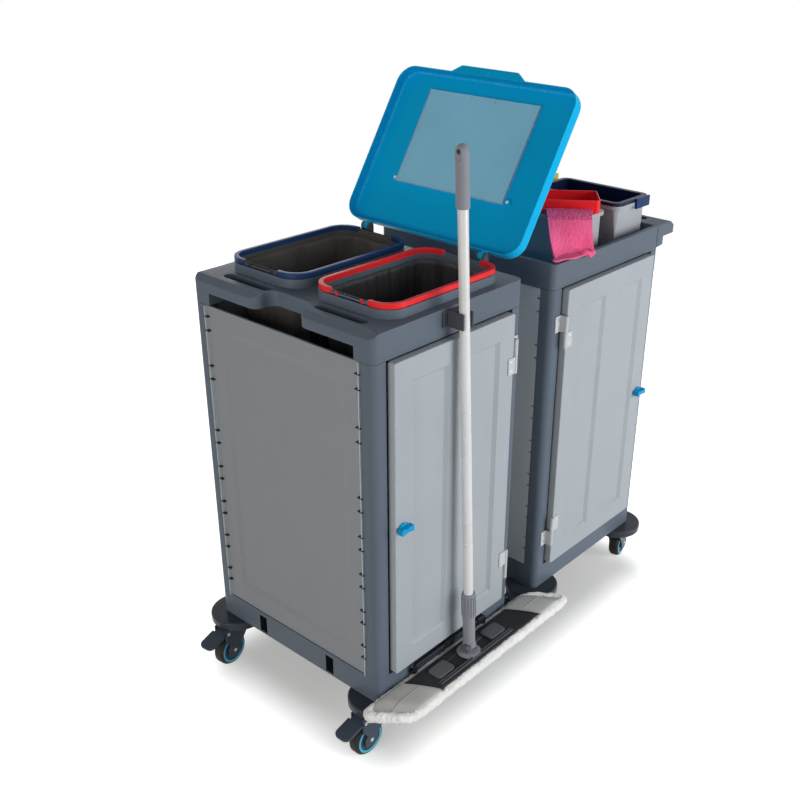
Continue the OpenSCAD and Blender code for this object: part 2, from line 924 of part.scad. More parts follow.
// Bag rings: two U-shaped bands, a thin link in each gap and a skirt, about the mouth's middle
module bag_ring() {
  w = bag_w + 2 * (ring_gap + ring_t);
  d = bag_d + 2 * (ring_gap + ring_t);
  r = bag_r + ring_gap + ring_t;
  link_x = w / 2 - ring_t / 2;
  difference() {
    linear_extrude(ring_h)
      difference() {
        rounded_mid(w, d, r);
        rounded_mid(w - 2 * ring_t, d - 2 * ring_t, r - ring_t);
      }
    for (s = [-1, 1])
      translate([s * link_x - ring_t, -ring_break / 2, -e]) cube([2 * ring_t, ring_break, ring_h + 2 * e]);
  }
  translate([0, 0, -skirt_h])
    linear_extrude(skirt_h + link_h / 2)
      difference() {
        rounded_mid(bag_w + 2 * (ring_gap + skirt_t), bag_d + 2 * (ring_gap + skirt_t), bag_r + ring_gap + skirt_t);
        rounded_mid(bag_w + 2 * ring_gap, bag_d + 2 * ring_gap, bag_r + ring_gap);
      }
  for (s = [-1, 1]) {
    translate([s * link_x - link_t / 2, -ring_break / 2 - e, 0])
      cube([link_t, ring_break + 2 * e, link_h]);
    for (y = [-ring_break / 3, ring_break / 3])
      translate([s * link_x, y, link_h / 2])
        rotate([0, s * 90, 0]) cylinder(r = rivet_r, h = link_t / 2 + rivet_r / 2);
  }
}

module bag_shell() {
  difference() {
    linear_extrude(bag_h) rounded_mid(bag_w, bag_d, bag_r);
    translate([0, 0, 2 * bag_t])
      linear_extrude(bag_h) rounded_mid(bag_w - 2 * bag_t, bag_d - 2 * bag_t, bag_r - bag_t);
  }
}

module red_ring() {
  color([0.86, 0.12, 0.1]) translate([bag_x, mid_y - bag_y, ring_z]) bag_ring();
}

module blue_ring() {
  color([0.1, 0.17, 0.35]) translate([bag_x, mid_y + bag_y, ring_z]) bag_ring();
}

module red_bag() {
  color([0.08, 0.08, 0.09]) translate([bag_x, mid_y - bag_y, bag_bottom]) bag_shell();
}

module blue_bag() {
  color([0.2, 0.2, 0.2]) translate([bag_x, mid_y + bag_y, bag_bottom]) bag_shell();
}

// Lid, drawn closed about its hinge line and then stood open
module at_lid() {
  translate([lid_x, mid_y, lid_z]) rotate([0, lid_open, 0]) children();
}

module lid_outline(inset) {
  translate([-lid_l + inset, -lid_w / 2 + inset])
    rounded(lid_l - lid_near - 2 * inset, lid_w - 2 * inset, lid_r - inset);
}

module lid_lug(y) {
  translate([0, y + lug_w / 2, 0]) rotate([90, 0, 0])
    linear_extrude(lug_w) {
      circle(lug_r);
      translate([-lid_near - lid_t / 2, 0]) square([lid_near + lid_t / 2, lug_r]);
      translate([-lid_near - lid_t / 2, 0]) square([lid_t, lid_h / 2]);
    }
}

module lid() {
  color([0, 0.55, 0.75])
    at_lid()
      difference() {
        union() {
          difference() {
            linear_extrude(lid_h) lid_outline(0);
            translate([0, 0, -e]) linear_extrude(lid_h - lid_t + e) lid_outline(lid_t);
          }
          for (s = [-1, 1]) lid_lug(s * lug_y);
          translate([-lid_l, 0, 0])
            linear_extrude(tab_t)
              polygon([[lid_t, -tab_w / 2], [0, -tab_w / 2], [-tab_l, -tab_w / 2 + tab_slope],
                [-tab_l, tab_w / 2 - tab_slope], [0, tab_w / 2], [lid_t, tab_w / 2]]);
        }
        translate([-lid_l + lid_t, -tab_w / 2 - e, -e])
          cube([2 * tab_l, tab_w + 2 * e, lid_h - lid_t + e]);
        for (s = [-1, 1])
          translate([0, s * lug_y - lug_w, 0])
            rotate([-90, 0, 0]) cylinder(r = lid_pin_r + run_gap, h = 2 * lug_w);
      }
}

module lid_brackets() {
  half = lug_w / 2 + face_gap;
  color([0.2, 0.21, 0.23])
    for (s = [-1, 1])
      translate([lid_x, mid_y + s * lug_y, lid_z]) {
        for (t = [-1, 1])
          translate([0, t * (half + cheek_t / 2) + cheek_t / 2, 0])
            rotate([90, 0, 0])
              linear_extrude(cheek_t) {
                circle(lug_r);
                translate([-lug_r, -lid_up]) square([2 * lug_r, lid_up]);
              }
        translate([0, -half - cheek_t, 0])
          rotate([-90, 0, 0]) cylinder(r = lid_pin_r, h = 2 * (half + cheek_t));
      }
}

module document_pocket() {
  t = pocket_slit + pocket_t;
  color([0.45, 0.62, 0.72])
    at_lid()
      translate([-lid_l + pocket_in, -pocket_w / 2, lid_h - lid_t - t])
        difference() {
          cube([pocket_l, pocket_w, t]);
          translate([-e, 2 * pocket_t, pocket_t])
            cube([pocket_l + e - 2 * pocket_t, pocket_w - 4 * pocket_t, t]);
          for (s = [-1, 1])
            translate([-e, pocket_w / 2 + s * thumb_w / 2 - cut_w / 2, -e])
              cube([thumb_cut + e, cut_w, pocket_t + 2 * e]);
        }
}

// Buckets: straight blanks with their sides cut to the taper
module tapered(w, d, h, r) {
  reach = h * tan(bucket_taper);
  difference() {
    linear_extrude(h) rounded_mid(w, d, r);
    for (s = [-1, 1]) {
      translate([s * w / 2, 0, h]) rotate([0, s * bucket_taper, 0])
        translate([s > 0 ? 0 : -2 * reach, -d, -2 * h]) cube([2 * reach, 2 * d, 2 * h]);
      translate([0, s * d / 2, h]) rotate([-s * bucket_taper, 0, 0])
        translate([-w, s > 0 ? 0 : -2 * reach, -2 * h]) cube([2 * w, 2 * reach, 2 * h]);
    }
  }
}

module bucket() {
  w = bucket_w - 2 * lip_w;
  l = bucket_l - 2 * lip_w;
  difference() {
    union() {
      tapered(w, l, bucket_h, bucket_r - lip_w / 2);
      translate([0, 0, bucket_h - lip_h]) linear_extrude(lip_h) rounded_mid(bucket_w, bucket_l, bucket_r);
    }
    translate([0, 0, bucket_t])
      tapered(w - 2 * bucket_t, l - 2 * bucket_t, bucket_h, bucket_r - lip_w / 2 - bucket_t);
  }
}

module at_red_bucket() {
  translate([right_x + red_x + bucket_w / 2, red_y + bucket_l / 2, tray_z + ring_gap]) children();
}

module at_blue_bucket() {
  translate([right_x + blue_x + bucket_w / 2, blue_y + bucket_l / 2, tray_z + ring_gap]) children();
}

module red_bucket() {
  color([0.62, 0.64, 0.67]) at_red_bucket() bucket();
}

module blue_bucket() {
  color([0.62, 0.64, 0.67]) at_blue_bucket() bucket();
}

module rear_bucket() {
  color([0.62, 0.64, 0.67])
    translate([right_x + rear_x + bucket_l / 2, rear_y + bucket_w / 2, tray_z + ring_gap])
      rotate([0, 0, 90]) bucket();
}

// The red tray lies askew, with its front right corner over the bucket's front rim
tray_corner = [bucket_w / 2 - red_in, -bucket_l / 2 - red_out];

module at_red_tray() {
  at_red_bucket()
    translate([tray_corner[0], tray_corner[1], bucket_h])
      rotate([0, 0, red_turn]) children();
}

module red_tray() {
  color([0.85, 0.1, 0.1])
    at_red_tray()
      difference() {
        translate([-red_w, 0, 0]) linear_extrude(red_h) rounded(red_w, red_d, bucket_r / 2);
        translate([-red_w + red_t, red_t, red_t])
          linear_extrude(red_h) rounded(red_w - 2 * red_t, red_d - 2 * red_t, bucket_r / 2 - red_t);
      }
}

module navy_tray() {
  w = bucket_w - 2 * lip_w - 2 * bucket_t - 2 * navy_gap;
  l = bucket_l - 2 * lip_w - 2 * bucket_t - 2 * navy_gap;
  r = bucket_r - lip_w / 2 - bucket_t - navy_gap;
  color([0.1, 0.15, 0.32])
    at_blue_bucket()
      translate([0, 0, bucket_h]) {
        difference() {
          union() {
            translate([0, 0, -navy_h])
              intersection() {
                tapered(w, l, navy_h, r);
                linear_extrude(navy_h) rounded_mid(w, l, r);
              }
            linear_extrude(navy_rim) rounded_mid(bucket_w, bucket_l, bucket_r);
          }
          translate([0, 0, -navy_h + bucket_t])
            tapered(w - 2 * bucket_t, l - 2 * bucket_t, navy_h + navy_rim, r - bucket_t);
        }
        translate([bucket_w / 2 - clip_w - bucket_r / 2, -bucket_l / 2 - clip_t, navy_rim - clip_h])
          cube([clip_w, clip_t, clip_h]);
      }
}

// Cloth: a folded sheet that runs from the red tray over the bucket's corner and the cart's rim.
// It stays over the rim until it is in front of the cart, and its end hangs down there.
function cloth_point(u, v, side) =
  let (
    over = cloth_out * min(v / 0.45, 1),
    late = max(v - 0.45, 0) / 0.55,
    drop = max(v - 0.46, 0) / 0.54,
    fold = cloth_fold * drop * cos(360 * cloth_folds * u),
    x = -cloth_x + (u - 0.5) * cloth_w * (1 - 0.14 * v) + cloth_drift * late,
    y = -1.5 - over - cloth_out * (1.23 - u) * late - fold,
    front = red_y - red_out + x * sin(red_turn) + y * cos(red_turn),
    rest = top_z + cloth_clear + cloth_t / 2 - rim_z - ring_gap,
    fall = bucket_h - top_h + tray_floor - cloth_clear + cloth_hang * sin(180 * u),
    free = ring_gap + cloth_t / 2 + 0.3 - fall * drop * (2 - drop),
    z = max(free, rest + min(front + cloth_edge, 0) * cloth_slope)
  )
  [x, y, z + side * cloth_t / 2];

cloth_nu = 16;
cloth_nv = 14;

module cloth_sheet() {
  row = cloth_nu + 1;
  top = [for (j = [0 : cloth_nv]) for (i = [0 : cloth_nu]) cloth_point(i / cloth_nu, j / cloth_nv, 1)];
  low = [for (j = [0 : cloth_nv]) for (i = [0 : cloth_nu]) cloth_point(i / cloth_nu, j / cloth_nv, -1)];
  n = len(top);
  quads = [for (j = [0 : cloth_nv - 1]) for (i = [0 : cloth_nu - 1]) j * row + i];
  up = [for (q = quads) each [[q, q + row, q + row + 1], [q, q + row + 1, q + 1]]];
  down = [for (q = quads) each [[n + q, n + q + row + 1, n + q + row], [n + q, n + q + 1, n + q + row + 1]]];
  rim = concat(
    [for (i = [0 : cloth_nu - 1]) i],
    [for (j = [0 : cloth_nv - 1]) j * row + cloth_nu],
    [for (i = [cloth_nu : -1 : 1]) cloth_nv * row + i],
    [for (j = [cloth_nv : -1 : 1]) j * row]);
  m = len(rim);
  edge = [for (k = [0 : m - 1]) let (a = rim[k], b = rim[(k + 1) % m])
    each [[a, b, n + b], [a, n + b, n + a]]];
  polyhedron(concat(top, low), concat(up, down, edge));
}

module pink_cloth() {
  color([0.95, 0.28, 0.48]) at_red_tray() cloth_sheet();
}

// Mop, drawn upright from the head's pivot and then leaned
module at_mop() {
  translate([mop_x, -mop_y, foot_z]) rotate([-mop_lean, -mop_side, 0]) children();
}

tube_from = socket_up + socket_l / 2;
grip_from = socket_up + socket_l + tube_l - hand_l + 20;

module mop_tube() {
  color([0.74, 0.75, 0.76])
    at_mop()
      translate([0, 0, tube_from])
        difference() {
          cylinder(r = tube_r, h = tube_l + socket_l / 2 - 20);
          translate([0, 0, -e]) cylinder(r = tube_r - tube_t, h = tube_l + socket_l);
        }
}

module mop_grip() {
  color([0.42, 0.43, 0.45])
    at_mop()
      translate([0, 0, grip_from])
        difference() {
          union() {
            cylinder(r = hand_r, h = hand_l - hand_r);
            translate([0, 0, hand_l - hand_r]) sphere(hand_r);
          }
          for (s = [-1, 1])
            translate([s > 0 ? hand_flat / 2 : -hand_r - hand_flat / 2, -hand_r - e, hand_l - 2.2 * hand_r])
              cube([hand_r, 2 * (hand_r + e), 2.2 * hand_r + e]);
          translate([0, 0, -e]) cylinder(r = tube_r + run_gap, h = hand_l - 20 - hand_r + e);
          translate([-2 * hand_r, 0, hand_l - hand_r])
            rotate([0, 90, 0]) cylinder(r = hole_r, h = 4 * hand_r);
        }
}

module mop_collar() {
  color([0.5, 0.51, 0.53])
    at_mop()
      translate([0, 0, socket_up + socket_l])
        difference() {
          union() {
            cylinder(r1 = socket_r + e, r2 = mop_collar_r - 2, h = collar_l);
            for (i = [0 : rib_n - 1])
              rotate([0, 0, i * 360 / rib_n])
                translate([socket_r - e, -1.2, collar_l * 0.12]) cube([mop_collar_r - socket_r + e, 2.4, collar_l * 0.8]);
          }
          translate([0, 0, -e]) cylinder(r = tube_r + run_gap, h = collar_l + 2 * e);
        }
}

module mop_socket() {
  color([0.5, 0.51, 0.53])
    at_mop()
      difference() {
        union() {
          translate([0, 0, socket_up]) cylinder(r = socket_r, h = socket_l);
          translate([-socket_r * 0.55, -socket_r, 0]) cube([socket_r * 1.1, 2 * socket_r, socket_up + e]);
          rotate([0, 90, 0]) translate([0, 0, -socket_r * 0.55]) cylinder(r = socket_r * 0.75, h = socket_r * 1.1);
        }
        translate([0, 0, tube_from]) cylinder(r = tube_r + run_gap, h = socket_l);
        rotate([0, 90, 0]) translate([0, 0, -2 * socket_r]) cylinder(r = pivot_r + run_gap, h = 4 * socket_r);
      }
}

// Head: a boat-shaped frame with two cheeks for the pivot, ribs and pedals, over the pad
module frame_outline(inset) {
  w = frame_w - 2 * inset;
  l = frame_l - 2 * inset;
  rounded_mid(l, w, w / 2 - 1);
}

module mop_frame() {
  cheek = 8;
  cheek_h = foot_z - frame_z - frame_t / 2;
  half = socket_r * 0.55 + face_gap;
  color([0.18, 0.19, 0.2])
    translate([mop_x, -mop_y, frame_z]) {
      difference() {
        linear_extrude(frame_t) frame_outline(0);
        translate([0, 0, frame_t - 3]) linear_extrude(frame_t) rounded_mid(frame_l * 0.45, frame_w * 0.42, 6);
      }
      for (y = [-frame_w / 2 + 8, -frame_w / 2 + 15])
        translate([-frame_l * 0.28, y, frame_t - e]) cube([frame_l * 0.56, 3, 4]);
      translate([0, 0, foot_z - frame_z]) rotate([0, -mop_side, 0]) {
        for (s = [-1, 1])
          translate([s * (half + cheek / 2) - cheek / 2, 0, 0])
            rotate([90, 0, 90])
              linear_extrude(cheek) {
                circle(socket_r * 0.7);
                translate([-socket_r * 0.7, -cheek_h]) square([socket_r * 1.4, cheek_h]);
              }
        translate([-half - cheek, 0, 0])
          rotate([0, 90, 0]) cylinder(r = pivot_r, h = 2 * (half + cheek));
      }
      for (s = [-1, 1])
        translate([s * frame_l * 0.2, 4, frame_t - e])
          linear_extrude(6) rounded_mid(foot_l, foot_w, 8);
    }
}

// Pad outline: slanted ends, as in the photograph, with round corners
module pad_outline(inset) {
  x0 = pad_l / 2 + pad_slant / 2;
  x1 = pad_l / 2 - pad_slant / 2;
  y = pad_w / 2 - inset;
  k = inset;
  polygon([[-x0 + k, y], [-x1 + k, -y], [x0 - k, -y], [x1 - k, y]]);
}

module mop_pad() {
  y0 = -pad_back - pad_w / 2;
  dx = 18;
  color([0.92, 0.92, 0.91])
    translate([pad_x + dx, y0, sole_z]) {
      linear_extrude(pad_t) pad_outline(0);
      difference() {
        translate([0, 0, pad_t - e])
          linear_extrude(pocket_h + e)
            difference() {
              pad_outline(10);
              square([pad_l - 2 * pad_pocket + pad_slant, 2 * pad_w], center = true);
            }
        translate([-dx, -mop_y - y0, pad_t])
          linear_extrude(frame_t + 0.4) frame_outline(-0.4);
      }
    }
}

// Clip for the mop on the left top frame
module mop_clip() {
  half = tube_r + clip_gap;
  back = -tube_at_clip_y - tube_r - clip_gap;
  color([0.2, 0.21, 0.23])
    translate([tube_at_clip_x, 0, clip_z - mop_clip_h / 2]) {
      translate([-clip_plate / 2, -clip_arm, 0]) cube([clip_plate, clip_arm, mop_clip_h]);
      translate([-half - clip_arm, -back, 0]) cube([2 * (half + clip_arm), back, mop_clip_h]);
      for (x = [-half - clip_arm, half])
        translate([x, tube_at_clip_y - tube_r, 0]) cube([clip_arm, -tube_at_clip_y + tube_r, mop_clip_h]);
    }
}

// Black bar on the front of the left base
module front_bar() {
  z = seam_low - bar_down;
  clamp = bar_out + bar_r;
  color([0.1, 0.1, 0.11]) {
    translate([bar_x, -bar_out, z]) rotate([0, 90, 0]) cylinder(r = bar_r, h = bar_l);
    for (x = [bar_x, bar_x + bar_l]) {
      translate([x, -bar_out, z]) sphere(bar_r);
      translate([x, -bar_out, z - bar_drop]) cylinder(r = bar_r, h = bar_drop);
      translate([x, -bar_out, z - bar_drop]) sphere(bar_r);
      translate([x, -bar_out, z - bar_drop]) rotate([-90, 0, 0]) cylinder(r = bar_r, h = bar_out);
    }
    for (x = [bar_x + bar_l * 0.42, bar_x + bar_l * 0.88])
      translate([x, -clamp - 2, z - bar_r - 3]) cube([24, clamp + 2, 2 * bar_r + 6]);
  }
}

// Casters, drawn about the swivel with the wheel behind it at -X
module bumper_discs() {
  color([0.22, 0.23, 0.26])
    for (c = casters)
      translate([c[0], c[1], base_z - disc_t])
        rotate_extrude()
          polygon([[stem_r + run_gap, 0], [disc_r - 5, 0], [disc_r, 4], [disc_r, disc_t - 3],
            [disc_r - 3, disc_t], [stem_r + run_gap, disc_t]]);
}

module at_caster(c) {
  translate([c[0], c[1], 0]) rotate([0, 0, c[2]]) children();
}

// Side view of a fork's cheek: a broad hood under the head, round about the axle
module cheek_outline(back) {
  translate([-trail, wheel_r]) circle(cheek_r);
  polygon([[-back, fork_z], [head_r, fork_z], [-trail + hood_side, wheel_r + hood_low],
    [-trail + cheek_r * 0.9, wheel_r], [-trail, wheel_r], [-trail - cheek_r * 0.6, wheel_r + cheek_r * 0.8],
    [-back, wheel_r + 2 * hood_low]]);
}

module fork(c, braked) {
  back = braked ? trail + pedal_back + pedal_hub_r + e : trail + 26;
  color([0.24, 0.26, 0.3])
    at_caster(c) {
      for (s = [-1, 1])
        translate([0, s * (cheek_y + fork_t / 2) + fork_t / 2, 0])
          rotate([90, 0, 0]) linear_extrude(fork_t) cheek_outline(back);
      translate([0, 0, fork_z - 12]) cylinder(r = head_r, h = 12);
      translate([-trail + 6, -cheek_y - e, fork_z - 18]) cube([trail, 2 * (cheek_y + e), 18]);
      translate([0, 0, fork_z - e]) cylinder(r = stem_r, h = stem_l + e);
      translate([-trail, -cheek_y - e, wheel_r])
        rotate([-90, 0, 0]) cylinder(r = axle_r, h = 2 * (cheek_y + e));
      if (braked)
        translate([pedal_x, -cheek_y - e, pedal_z])
          rotate([-90, 0, 0]) cylinder(r = pedal_pin_r, h = 2 * (cheek_y + e));
    }
}

module wheel(c) {
  h = wheel_w / 2;
  color([0.16, 0.16, 0.16])
    at_caster(c)
      translate([-trail, 0, wheel_r])
        rotate([90, 0, 0])
          rotate_extrude()
            polygon([[axle_r + run_gap, -h], [14, -h], [18, -h + 3], [wheel_r - 12, -h + 3], [wheel_r - 9, -h],
              [wheel_r - 5, -h], [wheel_r, -h + 6], [wheel_r, h - 6], [wheel_r - 5, h], [wheel_r - 9, h],
              [wheel_r - 12, h - 3], [18, h - 3], [14, h], [axle_r + run_gap, h]]);
}

module pedal(c) {
  inner = 2 * (cheek_y - face_gap);
  color([0.2, 0.21, 0.24])
    at_caster(c)
      translate([pedal_x, 0, pedal_z])
        rotate([0, -pedal_tilt, 0])
          difference() {
            union() {
              translate([0, -inner / 2, 0]) rotate([-90, 0, 0]) cylinder(r = pedal_hub_r, h = inner);
              translate([-pedal_root - e, -inner / 2, -pedal_t / 2]) cube([pedal_root + e, inner, pedal_t + pedal_rise]);
              translate([-pedal_l, -pedal_w / 2, pedal_rise - pedal_t / 2])
                linear_extrude(pedal_t) {
                  rounded(pedal_l - pedal_root, pedal_w, pedal_r);
                  translate([pedal_r, 0]) square([pedal_l - pedal_root - pedal_r, pedal_w]);
                }
            }
            translate([0, -inner, 0]) rotate([-90, 0, 0]) cylinder(r = pedal_pin_r + run_gap, h = 2 * inner);
          }
}

module fork_fl() { fork(cast_fl, true); }
module fork_bl() { fork(cast_bl, true); }
module fork_fm() { fork(cast_fm, false); }
module fork_bm() { fork(cast_bm, false); }
module fork_fn() { fork(cast_fn, true); }
module fork_bn() { fork(cast_bn, true); }
module fork_fr() { fork(cast_fr, false); }
module fork_br() { fork(cast_br, false); }
module wheel_fl() { wheel(cast_fl); }
module wheel_bl() { wheel(cast_bl); }
module wheel_fm() { wheel(cast_fm); }
module wheel_bm() { wheel(cast_bm); }
module wheel_fn() { wheel(cast_fn); }
module wheel_bn() { wheel(cast_bn); }
module wheel_fr() { wheel(cast_fr); }
module wheel_br() { wheel(cast_br); }
module pedal_fl() { pedal(cast_fl); }
module pedal_bl() { pedal(cast_bl); }
module pedal_fn() { pedal(cast_fn); }
module pedal_bn() { pedal(cast_bn); }

placed() {
  left_base();
  right_base();
  left_posts();
  right_posts();
  left_top_frame();
  right_top_tray();
  left_end_panel();
  right_end_panel();
  inner_panels();
  right_shelf();
  tie_rails();
  bumper_discs();
  hinge_brackets();
  lid_brackets();
  mop_clip();
  front_bar();
  left_door();
  left_leaves();
  left_latch();
  right_door();
  right_leaves();
  right_latch();
  lid();
  document_pocket();
  red_ring();
  red_bag();
  blue_ring();
  blue_bag();
  mop_tube();
  mop_grip();
  mop_collar();
  mop_socket();
  mop_frame();
  mop_pad();
  red_bucket();
  red_tray();
  pink_cloth();
  blue_bucket();
  navy_tray();
  rear_bucket();
  fork_fl();
  fork_bl();
  fork_fm();
  fork_bm();
  fork_fn();
  fork_bn();
  fork_fr();
  fork_br();
  wheel_fl();
  wheel_bl();
  wheel_fm();
  wheel_bm();
  wheel_fn();
  wheel_bn();
  wheel_fr();
  wheel_br();
  pedal_fl();
  pedal_bl();
  pedal_fn();
  pedal_bn();
}
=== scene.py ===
import json
from math import cos, hypot, pi, radians, sin, sqrt

import bmesh
import bpy
from mathutils import Matrix, Vector, noise

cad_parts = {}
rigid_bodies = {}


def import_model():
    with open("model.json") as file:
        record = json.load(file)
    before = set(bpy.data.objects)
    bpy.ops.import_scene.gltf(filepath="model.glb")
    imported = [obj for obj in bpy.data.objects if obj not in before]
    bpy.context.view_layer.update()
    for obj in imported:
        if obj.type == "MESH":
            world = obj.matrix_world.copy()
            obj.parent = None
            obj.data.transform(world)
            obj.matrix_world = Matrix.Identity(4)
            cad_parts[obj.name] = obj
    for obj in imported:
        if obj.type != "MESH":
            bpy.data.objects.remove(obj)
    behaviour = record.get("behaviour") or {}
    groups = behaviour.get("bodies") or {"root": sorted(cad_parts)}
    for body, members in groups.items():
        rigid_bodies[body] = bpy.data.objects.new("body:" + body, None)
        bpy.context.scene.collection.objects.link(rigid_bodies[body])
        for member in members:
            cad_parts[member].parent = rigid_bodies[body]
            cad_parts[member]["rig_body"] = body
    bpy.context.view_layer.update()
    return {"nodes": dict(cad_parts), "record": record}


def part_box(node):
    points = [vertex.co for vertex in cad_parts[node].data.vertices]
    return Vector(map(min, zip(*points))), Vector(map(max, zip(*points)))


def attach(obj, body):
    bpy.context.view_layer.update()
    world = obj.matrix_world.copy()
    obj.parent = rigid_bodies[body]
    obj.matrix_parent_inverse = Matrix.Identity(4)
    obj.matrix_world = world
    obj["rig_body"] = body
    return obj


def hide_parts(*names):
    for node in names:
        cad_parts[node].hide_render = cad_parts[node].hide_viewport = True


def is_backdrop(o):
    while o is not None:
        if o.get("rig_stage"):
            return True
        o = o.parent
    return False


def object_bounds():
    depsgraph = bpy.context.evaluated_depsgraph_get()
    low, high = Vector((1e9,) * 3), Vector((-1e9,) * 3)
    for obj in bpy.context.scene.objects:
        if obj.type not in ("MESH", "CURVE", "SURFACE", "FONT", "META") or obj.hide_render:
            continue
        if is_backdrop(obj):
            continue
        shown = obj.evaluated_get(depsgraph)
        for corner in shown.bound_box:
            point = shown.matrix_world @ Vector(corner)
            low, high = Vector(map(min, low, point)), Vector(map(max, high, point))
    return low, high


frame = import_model()

# Camera and studio
# The photograph's view: the bag end and the front of the cart from a little above, on a plain
# pale floor under broad soft lights, with the front in more light than the bag end.
scene = bpy.context.scene
scene.view_settings.view_transform = "Standard"
turn, lift, roll = radians(-50.856), radians(26.698), radians(1.447)
away = Vector((sin(turn) * cos(lift), -cos(turn) * cos(lift), sin(lift)))
level = Vector((cos(turn), sin(turn), 0))
rise = away.cross(level)
across = cos(roll) * level + sin(roll) * rise
upward = cos(roll) * rise - sin(roll) * level
lens = bpy.data.cameras.new("camera")
lens.sensor_width = 36
lens.lens = 47.007
lens.shift_x = -0.075
lens.shift_y = 0.0375
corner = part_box("left_base")[0]


def at(x, y, z):
    """Metres from millimetres right of and behind the left base's front corner, and up from the floor"""
    return Vector((corner.x + x / 1000, corner.y + y / 1000, z / 1000))


camera_place = at(-1355.9, -1328.6, 1819.2)
camera = bpy.data.objects.new("camera", lens)
camera.matrix_world = Matrix.Translation(camera_place) @ Matrix((across, upward, away)).transposed().to_4x4()
scene.collection.objects.link(camera)
scene.camera = camera


def join(tree, socket, value):
    """Link a socket to another node's output, or set its own value"""
    if isinstance(value, bpy.types.NodeSocket):
        tree.links.new(value, socket)
    else:
        socket.default_value = value


def add(tree, kind, values=None, **settings):
    """New shader node with its settings, and its inputs set or linked"""
    made = tree.nodes.new("ShaderNode" + kind)
    for key, value in settings.items():
        setattr(made, key, value)
    for key, value in (values or {}).items():
        join(tree, made.inputs[key], value)
    return made


def background_rays(tree):
    """1 for a ray that shows the background: from the camera, off a gloss or through a clear piece"""
    rays = add(tree, "LightPath").outputs
    direct = add(tree, "Math", {0: rays["Is Camera Ray"], 1: rays["Is Glossy Ray"]}, operation="ADD")
    every = add(tree, "Math", {0: direct.outputs[0], 1: rays["Is Transmission Ray"]}, operation="ADD",
                use_clamp=True)
    return every.outputs[0]


horizon_fill, zenith_fill = 0.32, 0.14
world = bpy.data.worlds.new("studio")
world.use_nodes = True
scene.world = world
tree = world.node_tree
seen = tree.nodes["Background"]
seen.inputs["Color"].default_value = (1, 1, 1, 1)
aim = add(tree, "TexCoord")
height = add(tree, "SeparateXYZ", {0: aim.outputs["Object"]})
dim = add(tree, "MapRange", {"Value": height.outputs["Z"], "From Min": 0.1, "From Max": 0.8,
                             "To Min": horizon_fill, "To Max": zenith_fill})
fill = add(tree, "Background", {"Color": (0.94, 0.97, 1, 1), "Strength": dim.outputs["Result"]})
which = add(tree, "MixShader", {0: background_rays(tree), 1: fill.outputs[0], 2: seen.outputs[0]})
tree.links.new(which.outputs[0], tree.nodes["World Output"].inputs["Surface"])

floor_radius = 3.4
# Over the cart's footprint the floor's glow is dimmed, and it rises to full a little way out: a painted
# shadow, added to the real shadow that the floor's diffuse part catches.
painted_shadow_core, painted_shadow_reach, painted_shadow_glow = (0.5, 0.24, 0), 0.19, 0.2
bm = bmesh.new()
bmesh.ops.create_circle(bm, cap_ends=True, segments=96, radius=floor_radius)
floor_mesh = bpy.data.meshes.new("floor")
bm.to_mesh(floor_mesh)
bm.free()
floor = bpy.data.objects.new("floor", floor_mesh)
scene.collection.objects.link(floor)
floor_mat = bpy.data.materials.new("floor")
floor_mat.use_nodes = True
tree = floor_mat.node_tree
shown = background_rays(tree)
coords = add(tree, "TexCoord")
spread = add(tree, "VectorMath", {0: coords.outputs["Object"]}, operation="ABSOLUTE")
past = add(tree, "VectorMath", {0: spread.outputs[0], 1: painted_shadow_core}, operation="SUBTRACT")
clear = add(tree, "VectorMath", {0: past.outputs[0], 1: (0, 0, 0)}, operation="MAXIMUM")
reach = add(tree, "VectorMath", {0: clear.outputs[0]}, operation="LENGTH")
painted_shadow_fade = add(tree, "MapRange", {"Value": reach.outputs["Value"], "From Min": 0.0, "From Max": painted_shadow_reach,
                              "To Min": painted_shadow_glow, "To Max": 1.0}, interpolation_type="SMOOTHSTEP")
paint = add(tree, "Mix", {0: shown, 6: (0.4, 0.4, 0.4, 1), 7: (0.9, 0.9, 0.9, 1)}, data_type="RGBA")
dull = add(tree, "BsdfDiffuse", {"Color": paint.outputs[2]})
bright = add(tree, "Math", {0: painted_shadow_fade.outputs["Result"], 1: shown}, operation="MULTIPLY")
glow = add(tree, "Emission", {"Color": (1, 1, 1, 1), "Strength": bright.outputs[0]})
blank = add(tree, "AddShader", {0: dull.outputs[0], 1: glow.outputs[0]})
tree.links.new(blank.outputs[0], tree.nodes["Material Output"].inputs["Surface"])
floor_mesh.materials.append(floor_mat)
floor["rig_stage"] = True

lit_middle = Vector((0, 0, 0.6))


def softbox(name, place, size, power, colour=(1, 1, 1)):
    """Square area light that faces the middle of the cart"""
    data = bpy.data.lights.new(name, "AREA")
    data.size = size
    data.energy = power
    data.color = colour
    made = bpy.data.objects.new(name, data)
    made.location = place
    made.rotation_euler = (lit_middle - Vector(place)).to_track_quat("-Z", "Y").to_euler()
    scene.collection.objects.link(made)
    made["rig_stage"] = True


softbox("key", (1.2, -3.9, 1.4), 2.6, 130)
softbox("left", (-4.0, -0.7, 1.3), 2.4, 60, (1, 0.94, 0.87))
softbox("back", (2.8, 3.6, 1.5), 2.6, 34)

# Moulded frame of the cart
# Two bases, eight hollow corner posts and two tops in slate grey plastic, moulded with a fine
# grain and small round edges. Posts plug into the bases and the tops, with open seams.
tone_depth = 0.83


def shade(r, g, b):
    """Linear colour of a screen tone from 0 to 255, at the depth that suits the studio's light"""
    return tuple(tone_depth * ((c / 255 + 0.055) / 1.055) ** 2.4 for c in (r, g, b)) + (1.0,)


def group(name, takes, gives):
    """New node group, with the outputs of its input node and the inputs of its output node"""
    made = bpy.data.node_groups.new(name, "ShaderNodeTree")
    for way, sockets in (("INPUT", takes), ("OUTPUT", gives)):
        for label, kind in sockets:
            made.interface.new_socket(label, in_out=way, socket_type="NodeSocket" + kind)
    return made, made.nodes.new("NodeGroupInput").outputs, made.nodes.new("NodeGroupOutput").inputs


